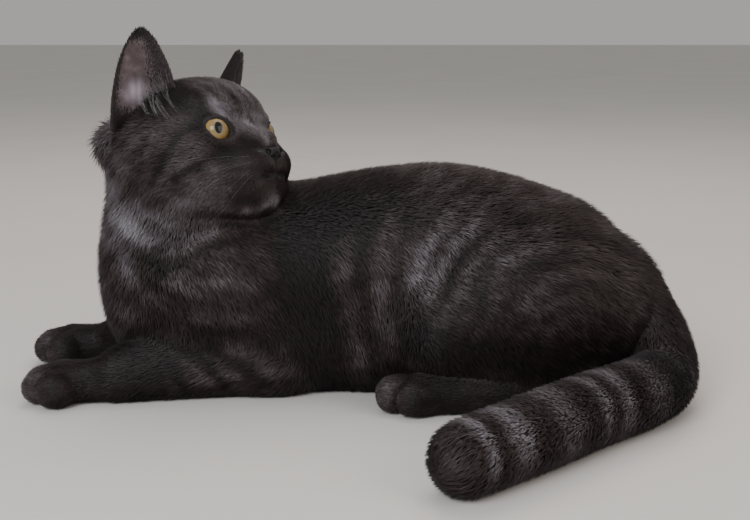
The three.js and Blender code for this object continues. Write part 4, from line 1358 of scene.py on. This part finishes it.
def eyeball(side, finish):
    """A ball with a bulging cornea. gaze holds each vertex's place across, up and out of the eye."""
    rows, columns = EYE_ROWS, EYE_COLUMNS
    axes = eye_axes(side)
    polar = np.linspace(0, math.pi, rows + 1)[1:-1, None]
    turn = np.arange(columns)[None] * 2 * math.pi / columns
    bulge = CORNEA_BULGE * ramp(np.cos(polar), math.cos(CORNEA_EDGE), 1)
    radius = EYE_RADIUS - EYE_PLAY + bulge
    rings = np.stack([
        radius * np.cos(polar) + 0 * turn,
        radius * np.sin(polar) * np.cos(turn),
        radius * np.sin(polar) * np.sin(turn),
    ], -1).reshape(-1, 3)
    poles = [[EYE_RADIUS - EYE_PLAY + CORNEA_BULGE, 0, 0], [-EYE_RADIUS + EYE_PLAY, 0, 0]]
    local = np.vstack([rings, poles])
    row, column = np.mgrid[0:rows - 2, 0:columns]
    beside = (column + 1) % columns
    a, b = row * columns + column, row * columns + beside
    sheet = np.stack([a, a + columns, b + columns], -1).reshape(-1, 3)
    other = np.stack([a, b + columns, b], -1).reshape(-1, 3)
    ring, following = np.arange(columns), (np.arange(columns) + 1) % columns
    last = (rows - 2) * columns
    front = np.column_stack([np.full(columns, len(rings)), ring, following])
    rear = np.column_stack([np.full(columns, len(rings) + 1), last + following, last + ring])
    faces = np.vstack([sheet, other, front, rear])
    if side < 0:
        faces = faces[:, ::-1]
    centre = in_head(EYE_AT[0], side * EYE_AT[1], EYE_AT[2])
    name = "left" if side > 0 else "right"
    mesh = as_mesh("eyeball_" + name, centre + local @ axes @ HEAD_AXES, faces)
    form = bmesh.new()
    form.from_mesh(mesh)
    bmesh.ops.recalc_face_normals(form, faces=form.faces)
    form.to_mesh(mesh)
    form.free()
    out, corner, lid = local.T
    across = corner * TILT_COS - lid * TILT_SIN
    high = corner * TILT_SIN + lid * TILT_COS
    paint(mesh, "gaze", np.column_stack([across - PUPIL_OFF, high - PUPIL_OFF, out]))
    mesh.materials.append(finish)
    piece = place_object("eyeball_" + name, mesh)
    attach(piece, "root")
    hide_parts("eye_" + name)
    return piece


NOSE_DROP = 2.5  # from where the leather's own forms are measured down to its place
NOSE_HALF, NOSE_CELL = 13, 0.55  # the box and the grid that it is drawn in


def nose_surface(p):
    """A pad with two wings and a narrow foot, grooved in front and opened at the nostrils."""
    q = head_place(p) + [0, 0, NOSE_DROP]
    d = oval_distance(q - [55.3, 0, -5.0], np.array([5.6, 8.0, 4.6]))
    d = blend(d, oval_distance(on_side(q, 1) - [54.2, 5.4, -6.6], np.array([4.8, 3.9, 3.5])), 2.5)
    d = blend(d, oval_distance(q - [56.8, 0, -10.2], np.array([2.8, 2.0, 3.4])), 2.5)
    d = carve(d, nostrils(q - [0, 0, NOSE_DROP]), 0.9)
    groove = np.hypot(q[:, 1], np.maximum(60.6 - q[:, 0], 0) * 0.5) - 0.45
    return carve(d, np.where(q[:, 2] < -5, groove, FAR), 1.2)


def nose_leather(finish):
    """The bare pad of the nose, set into the front of the muzzle."""
    middle = in_head(56, 0, -9)
    points, faces = surface_net(nose_surface, middle - NOSE_HALF, middle + NOSE_HALF, NOSE_CELL)
    mesh = as_mesh("nose_leather", points, faces)
    mesh.materials.append(finish)
    piece = place_object("nose_leather", mesh)
    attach(piece, "root")
    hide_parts("nose")
    return piece


# ---- Whiskers and long hairs -------------------------------------------------
# Radius of the hairs at the root: whiskers are drawn finer than real ones, ear hairs coarser.
WHISKER_RADIUS, EAR_HAIR_RADIUS = 0.04, 0.075
HAIR_STEPS, HAIR_SIDES = 9, 5
WHISKER_ROWS = ((-10, 3), (-13, 4), (-16, 3), (-19, 2))  # how far up, and how many whiskers
BROW_HAIRS = 3


def hair_tree():
    """Tapered round hairs along the lines of a mesh; thickness at each point is an attribute."""
    tree = bpy.data.node_groups.new("tapered_hairs", "GeometryNodeTree")
    sockets = tree.interface
    sockets.new_socket("Lines", in_out="INPUT", socket_type="NodeSocketGeometry")
    sockets.new_socket("Root Radius", in_out="INPUT", socket_type="NodeSocketFloat")
    sockets.new_socket("Sides", in_out="INPUT", socket_type="NodeSocketInt")
    sockets.new_socket("Hair", in_out="INPUT", socket_type="NodeSocketMaterial")
    sockets.new_socket("Hairs", in_out="OUTPUT", socket_type="NodeSocketGeometry")
    given = add(tree, "NodeGroupInput").outputs
    curve = add(tree, "GeometryNodeMeshToCurve", {"Mesh": given["Lines"]})
    taper = add(tree, "GeometryNodeInputNamedAttribute", {"Name": "taper"}, data_type="FLOAT")
    radius = add(tree, "ShaderNodeMath", {
        0: taper.outputs[0], 1: given["Root Radius"],
    }, operation="MULTIPLY")
    ring = add(tree, "GeometryNodeCurvePrimitiveCircle", {"Resolution": given["Sides"], "Radius": 1.0})
    tubes = add(tree, "GeometryNodeCurveToMesh", {
        "Curve": curve.outputs[0], "Profile Curve": ring.outputs[0], "Scale": radius.outputs[0],
        "Fill Caps": True,
    })
    real = add(tree, "GeometryNodeRealizeInstances", {0: tubes.outputs[0]})
    done = add(tree, "GeometryNodeSetMaterial", {0: real.outputs[0], "Material": given["Hair"]})
    add(tree, "NodeGroupOutput", {0: done.outputs[0]})
    return tree


def hairs(name, tree, roots, leads, ends, radius, finish, slot):
    """Bent hairs from each root, leaving towards its lead and ending at its end."""
    t = np.linspace(0, 1, HAIR_STEPS)[None, :, None]
    a, b, c = (np.array(v)[:, None] for v in (roots, leads, ends))
    lines = a * (1 - t) ** 2 + 2 * b * t * (1 - t) + c * t ** 2
    count = len(lines)
    mesh = bpy.data.meshes.new(name)
    first = np.arange(count)[:, None] * HAIR_STEPS + np.arange(HAIR_STEPS - 1)[None]
    edges = np.stack([first, first + 1], -1).reshape(-1, 2)
    mesh.from_pydata(((lines.reshape(-1, 3) + SHIFT) * MM).tolist(), edges.tolist(), [])
    paint(mesh, "taper", np.tile(1 - 0.85 * np.linspace(0, 1, HAIR_STEPS) ** 1.5, count))
    thing = place_object(name, mesh)
    grow = thing.modifiers.new("hairs", "NODES")
    grow.node_group = tree
    sockets = {s.name: s.identifier for s in tree.interface.items_tree if s.in_out == "INPUT"}
    grow[sockets["Root Radius"]] = radius * MM
    grow[sockets["Sides"]] = HAIR_SIDES
    grow[sockets["Hair"]] = finish
    thing.data = evaluated_mesh(thing)
    thing.data.name = name
    thing.data.shade_smooth()
    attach(thing, "root")
    return thing


def whiskers(tree, finish):
    """Four rows of whiskers on each muzzle pad, and a few hairs over each eye."""
    roots, leads, ends = [], [], []
    for side in (-1, 1):
        for row, (height, count) in enumerate(WHISKER_ROWS):
            for i in range(count):
                share = i / (count - 1)
                root = np.array([53 - 10 * share, side * (12 + 7 * share), height + 1.5 * share])
                reach = RANDOM.uniform(34, 50)
                rise = 0.04 - 0.16 * row + RANDOM.uniform(-0.06, 0.06)
                way = unit([0.25 - 0.9 * share, side * 1.0, rise])
                roots.append(root)
                leads.append(root + way * reach * 0.55)
                ends.append(root + way * reach + np.array([-9, 0, -5 - 3 * row]))
        for i in range(BROW_HAIRS):
            root = np.array([33 - i, side * (15 + 2.5 * i), 20.0])
            way = unit([0.5, side * (0.2 + 0.15 * i), 1.0])
            roots.append(root)
            leads.append(root + way * 9)
            ends.append(root + way * 18 + np.array([-6, 0, 0]))
    places = [in_head(*line) for line in (roots, leads, ends)]
    return hairs("whiskers", tree, *places, WHISKER_RADIUS, finish, "whisker")


def ear_hairs(tree, finish):
    """Pale strands that rise over the hollow of each ear, from its foot and its front edge."""
    roots, leads, ends = [], [], []
    for place in EARS.values():
        axes, height = ear_axes(*place)
        front = np.sign(axes[1] @ FORWARD)
        for i in range(EAR_STRANDS):
            at_foot = i % 3 < 2
            rise = RANDOM.uniform(0.08, 0.26) if at_foot else RANDOM.uniform(0.16, 0.5)
            half, cup, thick = ear_form(rise)
            share = front * (RANDOM.uniform(-0.1, 0.75) if at_foot else RANDOM.uniform(0.45, 0.85))
            out = -cup * (1 - share ** 2) + thick * 0.9
            root = place[1] + np.array([mix(-EAR_ROOT_DEPTH, height, rise), half * share, out]) @ axes
            reach = RANDOM.uniform(12, 24) if at_foot else RANDOM.uniform(8, 14)
            lean = -front * RANDOM.uniform(0.05, 0.55)
            way = unit(np.array([0.9, lean, RANDOM.uniform(0.1, 0.3)])) @ axes
            roots.append(root)
            leads.append(root + (way + axes[2] * 0.3) * reach * 0.5)
            ends.append(root + way * reach)
        for count, *spine in EAR_WISPS:
            spine = np.array(spine) * [1, place[0], 1]
            for _ in range(count):
                start, bend, end = spine + RANDOM.normal(0, 1, (3, 3)) * WISP_SPREAD
                start[1] -= WISP_ROOT * place[0]
                end = mix(start, end, RANDOM.uniform(0.75, 1.1))
                for line, at in zip((roots, leads, ends), in_head(start, bend, end)):
                    line.append(at)
    return hairs("ear_hairs", tree, roots, leads, ends, EAR_HAIR_RADIUS, finish, "whisker")


# ---- Putting the cat together ------------------------------------------------
def skin_traits(skin):
    """Everything the coat needs to know at each vertex of the skin."""
    p = mesh_points(skin.data)
    d = part_distances(p)
    share = part_shares(d)
    _, normal = slope(coat_surface, p)
    normal = unit(normal)
    flow = coat_flow(p, share, normal)
    traits = coat_traits(p, share)
    part = np.array(NAMES)[share.argmax(0)]
    pale = markings(p, share)
    bare, rim = np.zeros(len(p)), np.zeros(len(p))
    q = head_place(p)
    mesh_normals = np.empty(len(p) * 3)
    skin.data.vertices.foreach_get("normal", mesh_normals)
    mesh_normals = mesh_normals.reshape(-1, 3)
    outside = coat_surface(p, d) + traits[:, 0] > 0.8
    for name, place in EARS.items():
        rise, across, front, thick = ear_place(p, *place)
        near = (np.linalg.norm(p - place[1], axis=1) < 75) & (np.abs(front) < thick + 1.5) & outside
        mine = near & (rise > 0.02) & (np.abs(across) < 1.25)
        axes, _ = ear_axes(*place)
        forward = across * np.sign(axes[1] @ FORWARD)
        hollow = ramp(mesh_normals @ axes[2], -0.1, 0.25)
        inner = hollow * ramp(forward, -0.96, -0.78) * (1 - ramp(forward, -0.05, 0.75))
        bare[mine] = (inner * ramp(1 - rise, 0.03, 0.16) * ramp(rise, 0.08, 0.26))[mine]
        normal[mine] = mesh_normals[mine]
        way = axes[0] + axes[1] * np.clip(across, -1, 1)[:, None] * 0.25
        flow[mine] = unit(way - normal * dots(way, normal)[:, None])[mine]
        traits[mine] = EAR_COAT
        veil = np.exp(-((rise - 0.40) / 0.10) ** 2 - ((forward + 0.3) / 0.3) ** 2)
        streaks = 0.28 * wander(p * [1, 1, 0.4], 2.5, 31)
        veil *= np.clip(0.72 + streaks + 0.1 * wander(p, 6, 32), 0.1, 1.1)
        furry = 0.12 + 0.08 * ramp(np.abs(across), 0.6, 1.0) + 0.12 * hollow * ramp(forward, -0.1, 0.5)
        pale[mine] = mix(furry, 0.9 * veil + 0.02, inner)[mine]
        part[mine] = "ear_" + name
    for side in (-1, 1):
        e = eye_place(q, side)
        r = np.linalg.norm(e, axis=1)
        band = 0.6 + 1.8 * ramp(e[:, 2], -1, 4)
        edge = (1 - ramp(opening(e), band, band + 0.8)) * (e[:, 0] > 0) * (r < EYE_RADIUS + 5)
        rim = np.maximum(rim, edge)
    lips = np.min([tube(p) for tube in MOUTH], axis=0)
    rim = np.maximum(rim, np.exp(-(np.maximum(lips, 0) / 0.9) ** 2))
    nose = nose_surface(p)
    rim = np.maximum(rim, np.exp(-(np.maximum(nose, 0) / 0.8) ** 2))
    rim = np.maximum(rim, np.exp(-(np.maximum(nostrils(q), 0) / 1.6) ** 2))
    return p, normal, flow, traits, part, pale, bare, rim


def grow_coat(skin, finish):
    """Strews tufts over the skin, lays them along the body and makes the coat's pieces of them."""
    p, normal, flow, traits, part, pale, bare, rim = skin_traits(skin)
    for name, values in (("pale", pale), ("bare", bare), ("rim", rim)):
        paint(skin.data, name, values)
    triangles = mesh_triangles(skin.data)
    hidden = (p[:, 2] < SOLE) & (normal[:, 2] < -0.6)
    density = traits[:, 3] * (1 - bare) * (1 - ramp(rim, 0.25, 0.7)) * ~hidden
    chosen, weight = scatter(p, triangles, density[triangles].mean(1))
    corner = triangles[chosen]

    def at_roots(values):
        kept = weight if values.ndim == 1 else weight[:, :, None]
        return (values[corner] * kept).sum(1)

    root, n, way = at_roots(p), unit(at_roots(normal)), unit(at_roots(flow))
    depth, length, width, _ = at_roots(traits).T
    label = part[corner[np.arange(len(corner)), weight.argmax(1)]]

    side = np.cross(n, way)
    way = unit(way + side * RANDOM.normal(0, LIE_SPREAD, len(root))[:, None])
    length = length * RANDOM.uniform(0.75, 1.15, len(root))
    rise = np.minimum(depth * RANDOM.uniform(0.7, 1.12, len(root)), length * 0.8)
    reach = np.sqrt(length ** 2 - rise ** 2)
    middle = root + way * (reach * 0.42)[:, None] + n * (rise * 0.6)[:, None]
    tip = root + way * reach[:, None] + n * rise[:, None]
    tip, middle = locks(root, tip, middle, LOCK_SIZE, LOCK_PULL)

    # A tuft has the markings and painted light and shade of the place where its outer half shows.
    on_ear = np.char.startswith(label, "ear")
    shown = mix(middle, tip, 0.5)
    shade = np.where(on_ear, at_roots(pale), markings(shown, part_shares(part_distances(shown))))

    # The tips end at the coat's outer surface, where the CAD model has it.
    scruff = 1 - ramp(np.linalg.norm(root - SCRUFF_AT, axis=1), 14, 30)
    rump, throat = ramp(root[:, 0], 110, 170), ramp(-root[:, 0], 100, 130)
    fluff = 0.8 + 2.5 * scruff + (label != "tail") * (2.2 * rump + 1.2 * throat)
    stray = RANDOM.uniform(*STRAY, len(tip)) * np.minimum(depth / 3.5, 1)
    beyond = skin_surface(tip) - depth - stray * np.where(stray > 0, fluff, 1)
    shift = np.where(on_ear, 0, np.clip(-beyond, *TIP_SHIFT))
    tip += n * shift[:, None]
    middle += n * (shift * 0.4)[:, None]

    corners, facing = spindles(root, middle, tip, width * RANDOM.uniform(0.7, 1.2, len(root)), n)
    lowest = LOWEST + LOWEST_SPREAD * RANDOM.random(len(corners))
    corners[:, 2] = np.maximum(corners[:, 2], lowest)
    piece = piece_of(label, root)
    for name in np.unique(piece):
        mine = piece == name
        rows = np.repeat(mine, TUFT_CORNERS)
        coat_piece(str(name), corners[rows], facing[rows], shade[mine], label[mine], root[mine], finish)


def build_cat():
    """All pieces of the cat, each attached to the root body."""
    skin = join_ears(draw_skin())
    skin.data.materials.clear()
    skin.data.materials.append(skin_material())
    grow_coat(skin, hair_material())
    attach(skin, "root")
    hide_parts(*[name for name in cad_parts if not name.startswith(("eye_", "nose"))])
    amber = eye_material()
    for side in (-1, 1):
        eyeball(side, amber)
    nose_leather(nose_material())
    tree, white = hair_tree(), whisker_material()
    whiskers(tree, white)
    ear_hairs(tree, white)


# ---- Studio ------------------------------------------------------------------
CAMERA_AT = np.array([15.0, -650.0, 240.0])  # in the plan: in front of the cat's left side
CAMERA_DOWN = 12.3  # degrees below level
LENS, SENSOR = 52.08, 36.0
FLOOR_HALF = 12.0  # metres
LAMPS_AIM = (0, 0, 0.1)
# Each lamp's place and side in metres, power in watts and colour.
LAMPS = {
    "key": ((-0.7, -1.5, 1.1), 1.0, 34, "#f9faff"),
    "fill": ((1.4, -0.9, 0.8), 1.2, 11, "#fff1e8"),
    "top": ((0.1, 0.7, 1.7), 1.4, 13, "#fff4ec"),
}
WORLD_COLOUR, WORLD_STRENGTH = "#e3e1de", 0.55


def area_light(name, at, size, watts, code):
    light = bpy.data.lights.new(name, "AREA")
    light.shape, light.size, light.energy, light.color = "SQUARE", size, watts, linear(code)[:3]
    thing = bpy.data.objects.new(name, light)
    thing.location = at
    thing.rotation_euler = (Vector(LAMPS_AIM) - Vector(at)).to_track_quat("-Z", "Y").to_euler()
    bpy.context.scene.collection.objects.link(thing)


def studio():
    """The camera, a pale floor and soft lamps."""
    camera = bpy.data.cameras.new("camera")
    camera.lens, camera.sensor_width, camera.sensor_fit = LENS, SENSOR, "HORIZONTAL"
    stand = bpy.data.objects.new("camera", camera)
    stand.location = (CAMERA_AT + SHIFT) * MM
    stand.rotation_euler = (math.radians(90 - CAMERA_DOWN), 0, 0)
    bpy.context.scene.collection.objects.link(stand)
    bpy.context.scene.camera = stand

    mesh = bpy.data.meshes.new("floor")
    corners = [(x * FLOOR_HALF, y * FLOOR_HALF, 0) for x, y in ((-1, -1), (1, -1), (1, 1), (-1, 1))]
    mesh.from_pydata(corners, [], [(0, 1, 2, 3)])
    mesh.materials.append(floor_material())
    place_object("floor", mesh)

    for name, lamp in LAMPS.items():
        area_light(name, *lamp)
    world = bpy.data.worlds.new("studio")
    world.use_nodes = True
    world.node_tree.nodes["Background"].inputs["Color"].default_value = linear(WORLD_COLOUR)
    world.node_tree.nodes["Background"].inputs["Strength"].default_value = WORLD_STRENGTH
    bpy.context.scene.world = world


build_cat()
studio()
